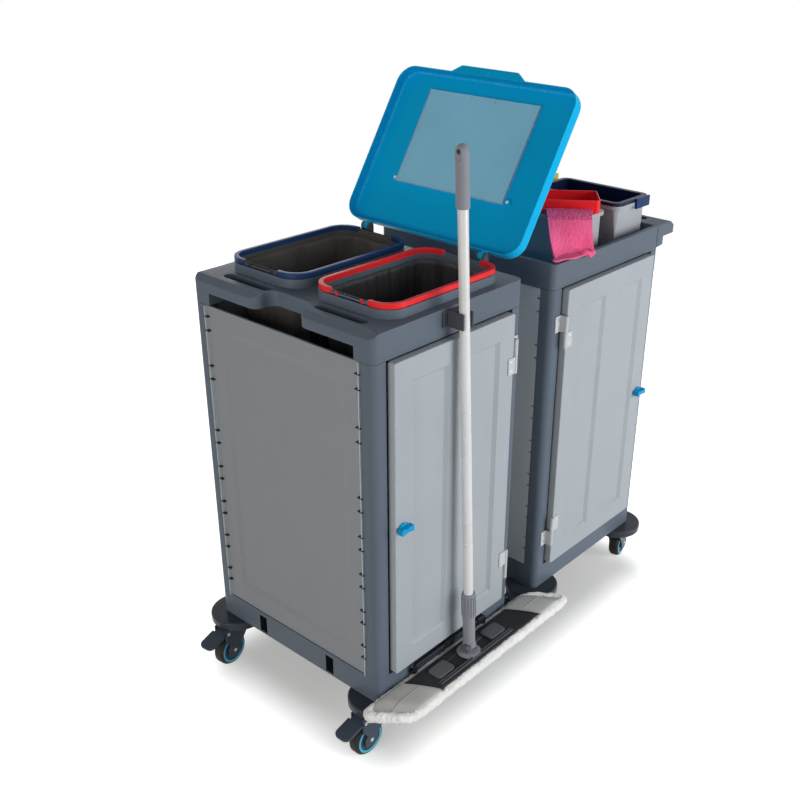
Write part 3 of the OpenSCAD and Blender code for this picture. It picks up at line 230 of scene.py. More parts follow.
moulded_grain, given, out = group(
    "moulded_grain",
    (("Vector", "Vector"), ("Colour", "Color"), ("Pale", "Color"), ("Wear", "Float"), ("Grain", "Float"),
     ("Roughness", "Float")),
    (("Colour", "Color"), ("Roughness", "Float"), ("Normal", "Vector")))
cloud = add(moulded_grain, "TexNoise", {"Vector": given["Vector"], "Scale": 8.0, "Detail": 5.0})
tone = add(moulded_grain, "MapRange", {"Value": cloud.outputs[0], "From Min": 0.3, "From Max": 0.7,
                                       "To Min": 0.97, "To Max": 1.03})
tinted = add(moulded_grain, "HueSaturation", {"Value": tone.outputs["Result"], "Color": given["Colour"]})
rub = add(moulded_grain, "TexNoise", {"Vector": given["Vector"], "Scale": 130.0, "Detail": 3.0})
rubbed = add(moulded_grain, "MapRange", {"Value": rub.outputs[0], "From Min": 0.4, "From Max": 0.68})
worn = add(moulded_grain, "Math", {0: rubbed.outputs["Result"], 1: given["Wear"]}, operation="MULTIPLY")
mixed = add(moulded_grain, "Mix", {0: worn.outputs[0], 6: tinted.outputs[0], 7: given["Pale"]},
            data_type="RGBA")
fine = add(moulded_grain, "TexNoise", {"Vector": given["Vector"], "Scale": given["Grain"], "Detail": 2.0})
bump = add(moulded_grain, "Bump", {"Height": fine.outputs[0], "Strength": 0.14, "Distance": 0.0004})
swing = add(moulded_grain, "MapRange", {"Value": cloud.outputs[0], "From Min": 0.3, "From Max": 0.7,
                                        "To Min": -0.06, "To Max": 0.06})
dulled = add(moulded_grain, "Math", {0: swing.outputs["Result"], 1: given["Roughness"]}, operation="ADD")
join(moulded_grain, out["Colour"], mixed.outputs[2])
join(moulded_grain, out["Roughness"], dulled.outputs[0])
join(moulded_grain, out["Normal"], bump.outputs[0])


def finished(name, effect, values, sockets):
    """Material whose colour, roughness and normal come from a node group, and that group's node"""
    mat = bpy.data.materials.new(name)
    mat.use_nodes = True
    tree = mat.node_tree
    shader = tree.nodes["Principled BSDF"]
    finish = tree.nodes.new("ShaderNodeGroup")
    finish.node_tree = effect
    join(tree, finish.inputs["Vector"], add(tree, "TexCoord").outputs["Object"])
    for label, value in values.items():
        join(tree, finish.inputs[label], value)
    for label, result in (("Base Color", "Colour"), ("Roughness", "Roughness"), ("Normal", "Normal")):
        join(tree, shader.inputs[label], finish.outputs[result])
    for label, value in sockets.items():
        shader.inputs[label.replace("_", " ")].default_value = value
    return mat, finish


def moulded(name, colour, pale=None, grain=1100.0, rough=0.45, **sockets):
    """Grained plastic that is paler where the wear attribute of the mesh says so"""
    pale = pale or tuple(min(1, c * 1.5 + 0.02) for c in colour[:3]) + (1.0,)
    values = {"Colour": colour, "Pale": pale, "Grain": grain, "Roughness": rough}
    mat, finish = finished(name, moulded_grain, values, {"Specular_IOR_Level": 0.12, **sockets})
    edge = add(mat.node_tree, "Attribute", attribute_name="wear")
    join(mat.node_tree, finish.inputs["Wear"], edge.outputs["Fac"])
    return mat


slots = {part["node"]: part["material_slot"] for part in frame["record"]["subparts"]}


def piece(name, bm, mat, body, slot, smooth=38, even=True):
    """New piece from a bmesh, with its material and the body it rides on. The slot argument is not used."""
    mesh = bpy.data.meshes.new(name)
    bm.to_mesh(mesh)
    bm.free()
    for spare in ("custom_normal", "sharp_edge"):
        if spare in mesh.attributes:
            mesh.attributes.remove(mesh.attributes[spare])
    mesh.materials.clear()
    mesh.materials.append(mat)
    mesh.shade_smooth()
    mesh.set_sharp_from_angle(angle=radians(smooth))
    made = bpy.data.objects.new(name, mesh)
    scene.collection.objects.link(made)
    if even:
        made.modifiers.new("even_shading", "WEIGHTED_NORMAL").keep_sharp = True
    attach(made, body)
    return made


def merged(node):
    """Copy of a CAD node's mesh with its triangles joined"""
    bm = bmesh.new()
    bm.from_mesh(frame["nodes"][node].data)
    bmesh.ops.remove_doubles(bm, verts=bm.verts, dist=1e-5)
    for face in bm.faces:
        face.material_index = 0
    return bm


edge_wear = 0.3


def ease(bm, width, chosen=None, segments=2, least=32):
    """Round the edges that are sharper than least degrees, and mark them as worn"""
    wear = bm.faces.layers.float.get("wear") or bm.faces.layers.float.new("wear")
    sharp = [edge for edge in bm.edges
             if len(edge.link_faces) == 2 and edge.calc_face_angle(0) > radians(least)
             and (chosen is None or chosen(edge))]
    made = bmesh.ops.bevel(bm, geom=sharp, offset=width, offset_type="OFFSET", segments=segments, profile=0.5,
                           affect="EDGES", clamp_overlap=False, material=-1)
    for face in made["faces"]:
        face[wear] = edge_wear


def eased(node, mat, width=0.0012, chosen=None):
    """Piece that replaces a CAD node with its own shape, with the edges rounded"""
    bm = merged(node)
    ease(bm, width, chosen)
    made = piece(node + "_skin", bm, mat, frame["nodes"][node]["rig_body"], slots[node])
    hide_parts(node)


slate = moulded("slate", shade(102, 114, 128), rough=0.42)
slot_rows, slot_half, slot_low, slot_high = (162, 402), 13, 151, 199


def off_slots(edge):
    """True for an edge that isn't round a slot of the end walls"""
    mid = 1000 * ((edge.verts[0].co + edge.verts[1].co) / 2 - at(0, 0, 0))
    beside = min(abs(mid.y - y) for y in slot_rows)
    return not (slot_low - 2 < mid.z < slot_high + 2 and beside < slot_half + 1.5)


for node in ("left_base", "right_base", "left_posts", "right_posts"):
    eased(node, slate, 0.0014, off_slots)
for node in ("left_top_frame", "right_top_tray"):
    eased(node, slate, 0.002)


def box_between(low, high, bm=None):
    """Box from its lowest to its highest corner, in a new bmesh or added to one"""
    bm = bm or bmesh.new()
    for vert in bmesh.ops.create_cube(bm, size=1)["verts"]:
        vert.co = Vector([low[i] + (vert.co[i] + 0.5) * (high[i] - low[i]) for i in range(3)])
    return bm


# Dark boxes fill the slots of the end walls: painted shade, standing for the shadow under the base that the
# open slots show.
slot_painted_shade = moulded("slot_painted_shade", shade(46, 49, 53), rough=0.6)
slot_mouths, slot_backs, slot_lining = (0.4, 1105.6), (66, 1040), 0.05
bm = bmesh.new()
for mouth, back in zip(slot_mouths, slot_backs):
    for y in slot_rows:
        box_between(at(min(mouth, back), y - slot_half + slot_lining, slot_low + slot_lining),
                    at(max(mouth, back), y + slot_half - slot_lining, slot_high - slot_lining), bm)
open_ends = [face for face in bm.faces
             if min(abs(face.calc_center_median().x - at(x, 0, 0).x) for x in slot_mouths) < 1e-4]
bmesh.ops.delete(bm, geom=open_ends, context="FACES_ONLY")
bmesh.ops.reverse_faces(bm, faces=bm.faces)
piece("slot_shade_liners", bm, slot_painted_shade, "cart", slots["left_base"])

# Panels and shelf
# Flat moulded panels in pale grey, clipped between the posts, with a shallow field on the outer
# face and pairs of small notches along both edges. The shelf is the same plastic.
panel_grey = moulded("panel_grey", shade(157, 162, 168), rough=0.5)
# The end panels' edge lips are real, but their much paler grey is a painted highlight along the lit edge
# line.
lip_painted_highlight = moulded("lip_painted_highlight", shade(214, 224, 226), rough=0.5)
# The inner panels, seen in the gap between the cabinets, get a much paler grey than the outer panels: painted
# light that lifts the shade in the gap.
gap_painted_light = moulded("gap_painted_light", shade(222, 226, 230), rough=0.5)
clip_black = moulded("clip_black", shade(58, 60, 64), rough=0.5)
panel_edge, field_margin, field_drop, field_slope = 0.0006, 0.02, 0.0034, 0.013
lip_wide, lip_out, lip_in, lip_edge = 0.0024, 0.0065, 0.001, 0.0005
for node, way in (("left_end_panel", 1), ("right_end_panel", -1)):
    low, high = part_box(node)
    face_x = low.x if way > 0 else high.x
    bm = merged(node)
    sunk = [vert for vert in bm.verts if 0.0002 < way * (vert.co.x - face_x) < 0.0058
            and all(low[i] + field_margin < vert.co[i] < high[i] - field_margin for i in (1, 2))]
    for i in (1, 2):
        first, last = min(vert.co[i] for vert in sunk), max(vert.co[i] for vert in sunk)
        for vert in sunk:
            if vert.co[i] - first < 0.001:
                vert.co[i] += field_slope
            elif last - vert.co[i] < 0.001:
                vert.co[i] -= field_slope
    for vert in sunk:
        vert.co.x += way * field_drop
    ease(bm, panel_edge)
    panel = piece(node + "_skin", bm, panel_grey, "cart", slots[node])
    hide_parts(node)
    bm = bmesh.new()
    left_x, right_x = sorted((face_x - way * lip_out, face_x + way * lip_in))
    for y in (low.y, high.y - lip_wide):
        box_between((left_x, y, low.z), (right_x, y + lip_wide, high.z), bm)
    ease(bm, lip_edge)
    piece(node + "_lips", bm, lip_painted_highlight, "cart", slots[node])
eased("inner_panels", gap_painted_light, panel_edge)

notch_pairs = [278 + 98 * i for i in range(5)] + [837, 958]
notch_half, clip_long, clip_half = 17, 14, 1.2
bm = bmesh.new()
for left_x, right_x in ((-3.9, 3.4), (1102.6, 1109.9)):
    for z in (pair + side for pair in notch_pairs for side in (-notch_half, notch_half)):
        for y in (36, 514):
            box_between(at(left_x, y, z - clip_half), at(right_x, y + clip_long, z + clip_half), bm)
piece("panel_clips", bm, clip_black, "cart", slots["left_end_panel"])


def coated(node, mat):
    """Give a CAD node that keeps its own mesh another material"""
    finishes = frame["nodes"][node].data.materials
    finishes.clear()
    finishes.append(mat)


coated("right_shelf", panel_grey)

# Rails, bumper discs, front bar and mop clip
# Two hidden steel tubes join the bases. Round bumper discs of glossy dark plastic sit over the
# casters. A black bent bar is clamped to the left base and a dark clip holds the mop above it.
rail_steel = moulded("rail_steel", shade(70, 72, 74), rough=0.4, Metallic=0.6)
disc_dark = moulded("disc_dark", shade(66, 71, 80), rough=0.26, grain=400.0)
black = moulded("black_plastic", shade(34, 35, 38), rough=0.36)
dark = moulded("dark_plastic", shade(80, 84, 91), rough=0.42)
coated("tie_rails", rail_steel)
eased("bumper_discs", disc_dark, 0.0016)
eased("mop_clip", dark, 0.0012)


def sweep(bm, path, radius, closed=False, sides=14):
    """Tube along a path, with flat ends if it is open"""
    count = len(path)
    loops = []
    for i, point in enumerate(path):
        before = path[i - 1] if i or closed else point
        after = path[(i + 1) % count] if i < count - 1 or closed else point
        along = (after - before).normalized()
        side = along.cross(Vector((0, 0, 1)))
        side = side.normalized() if side.length > 0.1 else Vector((1, 0, 0))
        up = side.cross(along)
        loops.append([bm.verts.new(point + radius * (cos(a) * side + sin(a) * up))
                      for a in (2 * pi * k / sides for k in range(sides))])
    for first, second in zip(loops, loops[1:] + (loops[:1] if closed else [])):
        for k in range(sides):
            bm.faces.new((first[k], first[(k + 1) % sides], second[(k + 1) % sides], second[k]))
    if not closed:
        bm.faces.new(loops[0])
        bm.faces.new(loops[-1])
    bmesh.ops.recalc_face_normals(bm, faces=bm.faces)


def bent(points, radius, steps=8):
    """Points of a path with its corners rounded"""
    made = [points[0]]
    for before, turn_at, after in zip(points, points[1:], points[2:]):
        first = turn_at + (before - turn_at).normalized() * min(radius, (before - turn_at).length * 0.49)
        last = turn_at + (after - turn_at).normalized() * min(radius, (after - turn_at).length * 0.49)
        for k in range(steps + 1):
            t = k / steps
            made.append(first * (1 - t) ** 2 + turn_at * 2 * t * (1 - t) + last * t * t)
    return made + [points[-1]]


bar_left, bar_right, bar_out, bar_foot, bar_top = 112, 374, -14, 178, 198
bar_radius, bar_bend = 0.0062, 0.009
bar_half = [(0, bar_foot), (bar_out, bar_foot), (bar_out, bar_top)]
bar_line = [at(bar_left, y, z) for y, z in bar_half] + [at(bar_right, y, z) for y, z in reversed(bar_half)]
clamp_places, clamp_wide, clamp_out, clamp_low, clamp_high = (220, 340.5), 28, -23, 187, 209
bm = bmesh.new()
sweep(bm, bent(bar_line, bar_bend), bar_radius)
for x in clamp_places:
    clamp = box_between(at(x, clamp_out, clamp_low), at(x + clamp_wide, 0, clamp_high))
    ease(clamp, 0.005, segments=4)
    clamp_mesh = bpy.data.meshes.new("clamp")
    clamp.to_mesh(clamp_mesh)
    clamp.free()
    bm.from_mesh(clamp_mesh)
    bpy.data.meshes.remove(clamp_mesh)
bar = piece("front_bar_skin", bm, black, "cart", slots["front_bar"])
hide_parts("front_bar")

# Doors with their hinges and latches
# Each door is a pale grey moulded panel with two long sunk fields, hung on two lift-off hinges
# in light grey that are screwed to the door and the post. A blue wing latch turns in its edge.
door_grey = moulded("door_grey", shade(184, 192, 199), rough=0.44)
hinge_grey = moulded("hinge_grey", shade(214, 218, 222), rough=0.4)
screw_steel = moulded("screw_steel", shade(200, 200, 198), rough=0.3, Metallic=0.9)
latch_blue = moulded("latch_blue", shade(0, 168, 228), rough=0.36)
door_corner, door_edge, door_margin, door_rib = 0.006, 0.0025, 0.052, 0.056
field_steps = ((0.0015, -0.0006), (0.012, -0.0064), (0.002, -0.0004))


def door(node):
    """Panel with round corners and two fields pressed into its front"""
    low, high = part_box(node)
    bm = box_between(low, high)
    ease(bm, door_corner, lambda edge: abs((edge.verts[0].co - edge.verts[1].co).normalized().y) > 0.9, 4)
    ease(bm, door_edge, segments=3, least=60)
    wide = (high.x - low.x - 2 * door_margin - door_rib) / 2
    left, right = low.x + door_margin, high.x - door_margin
    columns = (left, left + wide), (right - wide, right)
    rows = low.z + door_margin, high.z - door_margin
    cuts = [((x, 0, 0), (1, 0, 0)) for x in columns[0] + columns[1]]
    cuts += [((0, 0, z), (0, 0, 1)) for z in rows]
    for place, facing in cuts:
        front = [face for face in bm.faces if face.normal.y < -0.99]
        around = dict.fromkeys(part for face in front for part in (*face.edges, *face.verts))
        bmesh.ops.bisect_plane(bm, geom=front + list(around), plane_co=place, plane_no=facing)
    fields = []
    for face in bm.faces:
        mid = face.calc_center_median()
        inside = rows[0] < mid.z < rows[1] and any(a < mid.x < b for a, b in columns)
        if face.normal.y < -0.99 and inside:
            fields.append(face)
    for face in fields:
        for thickness, depth in field_steps:
            bmesh.ops.inset_region(bm, faces=[face], thickness=thickness, depth=depth)
    made = piece(node + "_skin", bm, door_grey, node, slots[node])
    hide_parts(node)


def button(bm, place, facing, radius, height):
    """Low round head of a screw or rivet, with a sloped crown"""
    tilt = Vector((0, 0, 1)).rotation_difference(Vector(facing)).to_matrix().to_4x4()
    foot = Matrix.Translation(place) @ tilt
    rim, shoulder = 0.92 * radius, 0.55 * height
    for r0, r1, z0, z1 in ((radius, rim, 0, shoulder), (rim, 0.5 * radius, shoulder, height)):
        bmesh.ops.create_cone(bm, cap_ends=True, segments=20, radius1=r0, radius2=r1, depth=z1 - z0,
                              matrix=foot @ Matrix.Translation((0, 0, (z0 + z1) / 2)))


screw_radius, screw_height = 0.0036, 0.0012
leaf_screws, plate_screws = (860, 882, 330, 352), (902, 924, 288, 310)
wing_outline = [(-20, -7), (-16, -8), (0, -5), (16, -8), (20, -7),
                (20, 7), (16, 8), (0, 5), (-16, 8), (-20, 7)]
wing_foot, wing_top = 0.0145, -0.0006
for side, leaf_x in (("left", 435), ("right", 671)):
    door(side + "_door")
    eased(side + "_leaves", hinge_grey, 0.0008)
    bm = bmesh.new()
    for z in leaf_screws:
        button(bm, at(leaf_x, -19, z), (0, -1, 0), screw_radius, screw_height)
    piece(side + "_leaf_screws", bm, screw_steel, side + "_door", slots[side + "_leaves"])
    eased(side + "_latch", latch_blue, 0.001)
    low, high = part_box(side + "_latch")
    mid = (low + high) / 2
    bm = bmesh.new()
    ends = [bm.verts.new((mid.x + x / 1000, low.y + wing_foot, mid.z + z / 1000)) for x, z in wing_outline]
    raised = bmesh.ops.extrude_face_region(bm, geom=[bm.faces.new(ends)])["geom"]
    for vert in raised:
        if isinstance(vert, bmesh.types.BMVert):
            vert.co.y = low.y + wing_top
    bmesh.ops.recalc_face_normals(bm, faces=bm.faces)
    ease(bm, 0.002, segments=3)
    piece(side + "_latch_wing", bm, latch_blue, side + "_latch", slots[side + "_latch"])
eased("hinge_brackets", hinge_grey, 0.0008)
bm = bmesh.new()
for plate_x in (465.5, 640.5):
    for z in plate_screws:
        button(bm, at(plate_x, -3, z), (0, -1, 0), screw_radius, screw_height)
piece("hinge_screws", bm, screw_steel, "cart", slots["hinge_brackets"])

# Lid with its document pocket
# A shallow blue tray of thin moulded plastic with round corners, on two lugs that turn in dark
# brackets, with a pull tab in its free edge and a clear bluish pocket screwed to its inner side.
lid_blue = moulded("lid_blue", shade(0, 194, 255), pale=shade(120, 215, 245), rough=0.4, grain=500.0,
                   Specular_IOR_Level=0.06)
pocket_clear = moulded("pocket_clear", (0.4, 0.8, 0.98, 1), rough=0.2, grain=60.0, Transmission_Weight=0.35,
                       IOR=1.2)
pocket_edge = moulded("pocket_edge", shade(196, 214, 222), rough=0.3)
hinge_line, lid_turn = at(462, 282, 1103), radians(123)
opened = Matrix.Translation(hinge_line) @ Matrix.Rotation(lid_turn, 4, "Y")
closed = opened.inverted()


def on_back(edge):
    """True for an edge at the level of the lid's back"""
    levels = [(closed @ vert.co).z for vert in edge.verts]
    return all(0.0255 < z < 0.0285 or z > 0.0295 for z in levels)


bm = merged("lid")
ease(bm, 0.0055, on_back, 4)
ease(bm, 0.001)
lid = piece("lid_skin", bm, lid_blue, "lid", slots["lid"])
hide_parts("lid")
eased("lid_brackets", dark, 0.001)
eased("document_pocket", pocket_clear, 0.0006)

pocket_far, pocket_near, pocket_side = -0.376, -0.1326, 0.1668
pocket_rim = [(pocket_far, -pocket_side), (pocket_near, -pocket_side), (pocket_near, pocket_side),
              (pocket_far, pocket_side)]
bm = bmesh.new()
sweep(bm, [opened @ Vector((x, y, 0.0186)) for x, y in pocket_rim], 0.0011, sides=8)
for y in (-0.037, 0.037):
    sweep(bm, [opened @ Vector((x, y, 0.0188)) for x in (pocket_far, pocket_far + 0.014)], 0.0012, sides=8)
piece("pocket_edges", bm, pocket_edge, "lid", slots["document_pocket"])

inward = opened.to_3x3() @ Vector((0, 0, -1))
tabs, screws = bmesh.new(), bmesh.new()
for y in (-0.176, 0.176):
    button(tabs, opened @ Vector((-0.14, y, 0.0272)), inward, 0.0105, 0.005)
    button(screws, opened @ Vector((-0.14, y, 0.0224)), inward, 0.0042, 0.0014)
piece("pocket_tabs", tabs, lid_blue, "lid", slots["lid"])
piece("pocket_screws", screws, screw_steel, "lid", slots["document_pocket"])
bm = bmesh.new()
button(bm, opened @ Vector((-0.43, 0, 0.0005)), inward, 0.0075, 0.004)
piece("tab_knob", bm, lid_blue, "lid", slots["lid"])

# Bag rings and bags
# Each ring is a band of coloured plastic in two halves with a thin riveted link between them. It
# grips the mouth of a hanging bag: black film under the red ring, grey canvas under the navy one.
ring_red = moulded("ring_red", (0.86, 0.026, 0.03, 1), rough=0.32)
ring_navy = moulded("ring_navy", shade(36, 66, 114), rough=0.34)
hem_grey = moulded("hem_grey", shade(92, 90, 88), rough=0.6)
band_high, band_thick, link_half, link_inset = 0.012, 0.0085, 0.0535, 0.00295
for node, band, hem in (("red_ring", ring_red, slate), ("blue_ring", ring_navy, hem_grey)):
    low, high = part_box(node)
    mid = (low + high) / 2
    seat = high.z - band_high
    bm = merged(node)
    bmesh.ops.bisect_plane(bm, geom=bm.verts[:] + bm.edges[:] + bm.faces[:], plane_co=(0, 0, seat),
                           plane_no=(0, 0, 1))
    ease(bm, 0.0018)
    hems = []
    for face in bm.faces:
        spot = face.calc_center_median()
        inset_x = high.x - mid.x - abs(spot.x - mid.x)
        inset_y = high.y - mid.y - abs(spot.y - mid.y)
        skirt = spot.z < seat - 0.0002 and min(inset_x, inset_y) > band_thick
        link = abs(spot.y - mid.y) < link_half and inset_x > link_inset
        hems.append(1 if skirt or link else 0)
    ring = piece(node + "_skin", bm, band, node.replace("ring", "bag"), slots[node])
    ring.data.materials.append(hem)
    ring.data.polygons.foreach_set("material_index", hems)
    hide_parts(node)

woven, given, out = group(
    "woven",
    (("Vector", "Vector"), ("Colour", "Color"), ("Dark", "Color"), ("Pitch", "Float"),
     ("Roughness", "Float")),
    (("Colour", "Color"), ("Roughness", "Float"), ("Normal", "Vector")))
cloud = add(woven, "TexNoise", {"Vector": given["Vector"], "Scale": 14.0, "Detail": 6.0})
threads = add(woven, "TexNoise", {"Vector": given["Vector"], "Scale": given["Pitch"], "Detail": 2.0})
patch = add(woven, "MapRange", {"Value": cloud.outputs[0], "From Min": 0.35, "From Max": 0.7})
mixed = add(woven, "Mix", {0: patch.outputs["Result"], 6: given["Colour"], 7: given["Dark"]},
            data_type="RGBA")
raised = add(woven, "MapRange", {"Value": threads.outputs[0], "From Min": 0.3, "From Max": 0.7,
                                 "To Min": 0.85, "To Max": 1.12})
lit = add(woven, "HueSaturation", {"Value": raised.outputs["Result"], "Color": mixed.outputs[2]})
swing = add(woven, "MapRange", {"Value": cloud.outputs[0], "From Min": 0.3, "From Max": 0.7,
                                "To Min": -0.05, "To Max": 0.05})
dulled = add(woven, "Math", {0: swing.outputs["Result"], 1: given["Roughness"]}, operation="ADD")
bump = add(woven, "Bump", {"Height": threads.outputs[0], "Strength": 0.4, "Distance": 0.0008})
join(woven, out["Colour"], lit.outputs[0])
join(woven, out["Roughness"], dulled.outputs[0])
join(woven, out["Normal"], bump.outputs[0])


def cloth(name, colour, dark, pitch, rough, **sockets):
    """Fabric with patches of a darker tone and raised threads"""
    values = {"Colour": colour, "Dark": dark, "Pitch": pitch, "Roughness": rough}
    return finished(name, woven, values, sockets)[0]


def round_outline(wide, deep, radius, count):
    """Points at even steps round a rectangle with round corners, from the middle of its +X side"""
    a, b, quarter = wide - 2 * radius, deep - 2 * radius, pi * radius / 2
    runs = ((b / 2, wide / 2, 0, 0, 1), (quarter, a / 2, b / 2, 0, None),
            (a, a / 2, deep / 2, -1, 0), (quarter, -a / 2, b / 2, pi / 2, None),
            (b, -wide / 2, b / 2, 0, -1), (quarter, -a / 2, -b / 2, pi, None),
            (a, -a / 2, -deep / 2, 1, 0), (quarter, a / 2, -b / 2, 3 * pi / 2, None),
            (b / 2, wide / 2, -b / 2, 0, 1))
    total = sum(run[0] for run in runs)
    for i in range(count):
        s = total * i / count
        for length, x, y, dx, dy in runs:
            if s <= length:
                break
            s -= length
        if dy is None:
            yield x + radius * cos(dx + s / radius), y + radius * sin(dx + s / radius)
        else:
            yield x + dx * s, y + dy * s


bag_corner, bag_film, bag_inset = 0.04, 0.0012, 0.003


def bag(node, mat, folds, depth, mouth, seed):
    """Hanging bag: an outline lofted down from its mouth, drawn in by folds and closed at the foot"""
    low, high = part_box(node)
    mid = (low + high) / 2
    count, rows = 216, 60
    outline = list(round_outline(high.x - low.x - bag_inset, high.y - low.y - bag_inset, bag_corner, count))
    bm = bmesh.new()
    loops = []
    for j in range(rows):
        t = j / (rows - 1)
        z = mouth + (low.z + 0.002 - mouth) * min(1, t / 0.94)
        slack = min(1, 0.16 + 2.2 * t) * (1 - 0.45 * t)
        shrink = 1.0 if t < 0.9 else sqrt(max(0.0, 1 - ((t - 0.9) / 0.1) ** 2)) * 0.97 + 0.03
        loop = []
        for i, (x, y) in enumerate(outline):
            angle = 2 * pi * i / count
            round_x, round_y = cos(angle), sin(angle)
            swell = noise.noise(Vector((folds * round_x * 0.55, folds * round_y * 0.55, seed + 1.4 * t)))
            crease = noise.noise(Vector((folds * round_x * 1.1, folds * round_y * 1.1, seed + 5 + 0.9 * t)))
            pull = depth * slack * (0.35 + 0.55 * swell + 1.2 * (0.35 - abs(crease)))
            size = (1 - max(0.0, pull) / hypot(x, y)) * shrink
            dip = 0.004 * noise.noise(Vector((3 * round_x, 3 * round_y, seed + 9))) * max(0, 1 - 8 * t)
            loop.append(bm.verts.new((mid.x + x * size, mid.y + y * size, z + dip)))
        loops.append(loop)
    for upper, under in zip(loops, loops[1:]):
        for i in range(count):
            k = (i + 1) % count
            bm.faces.new((upper[i], upper[k], under[k], under[i]))
    bm.faces.new(loops[-1])
    bmesh.ops.recalc_face_normals(bm, faces=bm.faces)
    made = piece(node + "_skin", bm, mat, node, slots[node], smooth=70, even=False)
    shell = made.modifiers.new("film", "SOLIDIFY")
    shell.thickness = bag_film
    shell.offset = -1
    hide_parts(node)


bag_black = cloth("bag_black", shade(36, 36, 39), shade(26, 26, 28), 500.0, 0.6)
bag_grey = cloth("bag_grey", shade(92, 88, 84), shade(74, 70, 67), 1500.0, 0.85)
bag("red_bag", bag_black, folds=9, depth=0.03, mouth=1.0765, seed=3)
bag("blue_bag", bag_grey, folds=5, depth=0.022, mouth=1.0775, seed=11)

# Flat mop
# A thin aluminium tube with a grey grip that ends in a flat eye, a ribbed clamp collar and a
# socket pinned to a dark boat-shaped frame. The frame's ends sit in the pockets of a white pad.
mop_alu = moulded("mop_alu", shade(236, 236, 237), rough=0.3, grain=300.0, Metallic=0.1)
mop_grey = moulded("mop_grey", shade(152, 155, 165), rough=0.46)
mop_dark = moulded("mop_dark", shade(58, 60, 63), rough=0.42)
mop_step = moulded("mop_step", shade(104, 107, 112), rough=0.42)
mop_rail = moulded("mop_rail", shade(88, 90, 95), rough=0.42)
eased("mop_tube", mop_alu, 0.0004)
eased("mop_grip", mop_grey, 0.0012)
eased("mop_collar", mop_grey, 0.0005)
eased("mop_socket", mop_grey, 0.0008)
low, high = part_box("mop_frame")
mid = (low + high) / 2
deck_high, rail_back = 0.0107, 0.02
bm = merged("mop_frame")
ease(bm, 0.0012)
for face in bm.faces:
    spot = face.calc_center_median()
    if spot.z > low.z + deck_high:
        face.material_index = 2 if spot.y < mid.y - rail_back else 1
tones = [face.material_index for face in bm.faces]
mop_frame = piece("mop_frame_skin", bm, mop_dark, "mop_head", slots["mop_frame"])
for mat in (mop_step, mop_rail):
    mop_frame.data.materials.append(mat)
mop_frame.data.polygons.foreach_set("material_index", tones)
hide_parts("mop_frame")
bm = bmesh.new()
for r0, r1, z0, z1 in ((0.031, 0.027, 0.0104, 0.0128), (0.027, 0.0195, 0.0128, 0.0158)):
    bmesh.ops.create_cone(bm, cap_ends=True, segments=40, radius1=r0, radius2=r1, depth=z1 - z0,
                          matrix=Matrix.Translation((mid.x, mid.y, low.z + (z0 + z1) / 2)))
piece("mop_foot", bm, mop_grey, "mop_head", slots["mop_frame"])

pad_white = cloth("pad_white", (0.95, 0.95, 0.945, 1), (0.88, 0.88, 0.87, 1), 900.0, 0.9, Sheen_Weight=0.5)
pad_mid = at(280, -57, 146)
pad_long, pad_short, pad_deep, pad_step = 0.354, 0.286, 0.054, 0.008


def pad_ring(inset, up, radius, steps=7):
    """Closed path round the pad's slanted outline, with round corners"""
    x0, x1, y = pad_long - inset, pad_short - inset, pad_deep - inset
    ends = [Vector((-x0, y, up)), Vector((-x1, -y, up)), Vector((x0, -y, up)), Vector((x1, y, up))]
    made = []
    for before, turn_at, after in zip(ends[-1:] + ends, ends, ends[1:] + ends[:1]):
        made += bent([before, turn_at, after], radius, steps)[1:-1]
    path = []
    for first, second in zip(made, made[1:] + made[:1]):
        parts = max(1, round((second - first).length / pad_step))
        path += [pad_mid + first.lerp(second, k / parts) for k in range(parts)]
    return path


roll_radius, pad_fill, fleece_voxel = 0.013, 0.014, 0.0026
bm = bmesh.new()
sweep(bm, pad_ring(0.0105, 0.0128, 0.03), roll_radius, closed=True, sides=16)
low_ring = [bm.verts.new(point) for point in pad_ring(0.012, 0.004, 0.03)]
top = bmesh.ops.extrude_face_region(bm, geom=[bm.faces.new(low_ring)])["geom"]
top_ring = [vert for vert in top if isinstance(vert, bmesh.types.BMVert)]
bmesh.ops.translate(bm, verts=top_ring, vec=(0, 0, pad_fill))
bmesh.ops.recalc_face_normals(bm, faces=bm.faces)
pad = piece("mop_pad_skin", bm, pad_white, "mop_head", slots["mop_pad"], smooth=180, even=False)
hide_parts("mop_pad")
grid = pad.modifiers.new("grid", "REMESH")
grid.mode = "VOXEL"
grid.voxel_size = fleece_voxel
bpy.context.view_layer.update()
shaped = bpy.data.meshes.new_from_object(pad.evaluated_get(bpy.context.evaluated_depsgraph_get()))
pad.modifiers.clear()
shaped.name = "mop_pad_fleece"
moved = [vert.co + vert.normal * (noise.noise(vert.co * 190) * 0.0022 + noise.noise(vert.co * 60) * 0.0016)
         for vert in shaped.vertices]
for vert, place in zip(shaped.vertices, moved):
    vert.co = place
pad.data = shaped
shaped.materials.clear()
shaped.materials.append(pad_white)
shaped.shade_smooth()

pad_canvas = cloth("pad_canvas", shade(212, 212, 208), shade(198, 198, 194), 1600.0, 0.85)
pad_seam = cloth("pad_seam", shade(184, 182, 177), shade(170, 168, 163), 1600.0, 0.85)
bm = bmesh.new()
bm.faces.new([bm.verts.new(point) for point in pad_ring(0.02, 0.0186, 0.022)])
canvas = piece("pad_backing", bm, pad_canvas, "mop_head", slots["mop_pad"], smooth=60, even=False)
canvas.modifiers.new("weave", "SOLIDIFY").thickness = 0.0012
pocket_mouth = Vector((-0.224, 0.0465)), Vector((-0.170, -0.0465))
pocket_end = Vector((-0.330, 0.044)), Vector((-0.279, -0.0465))


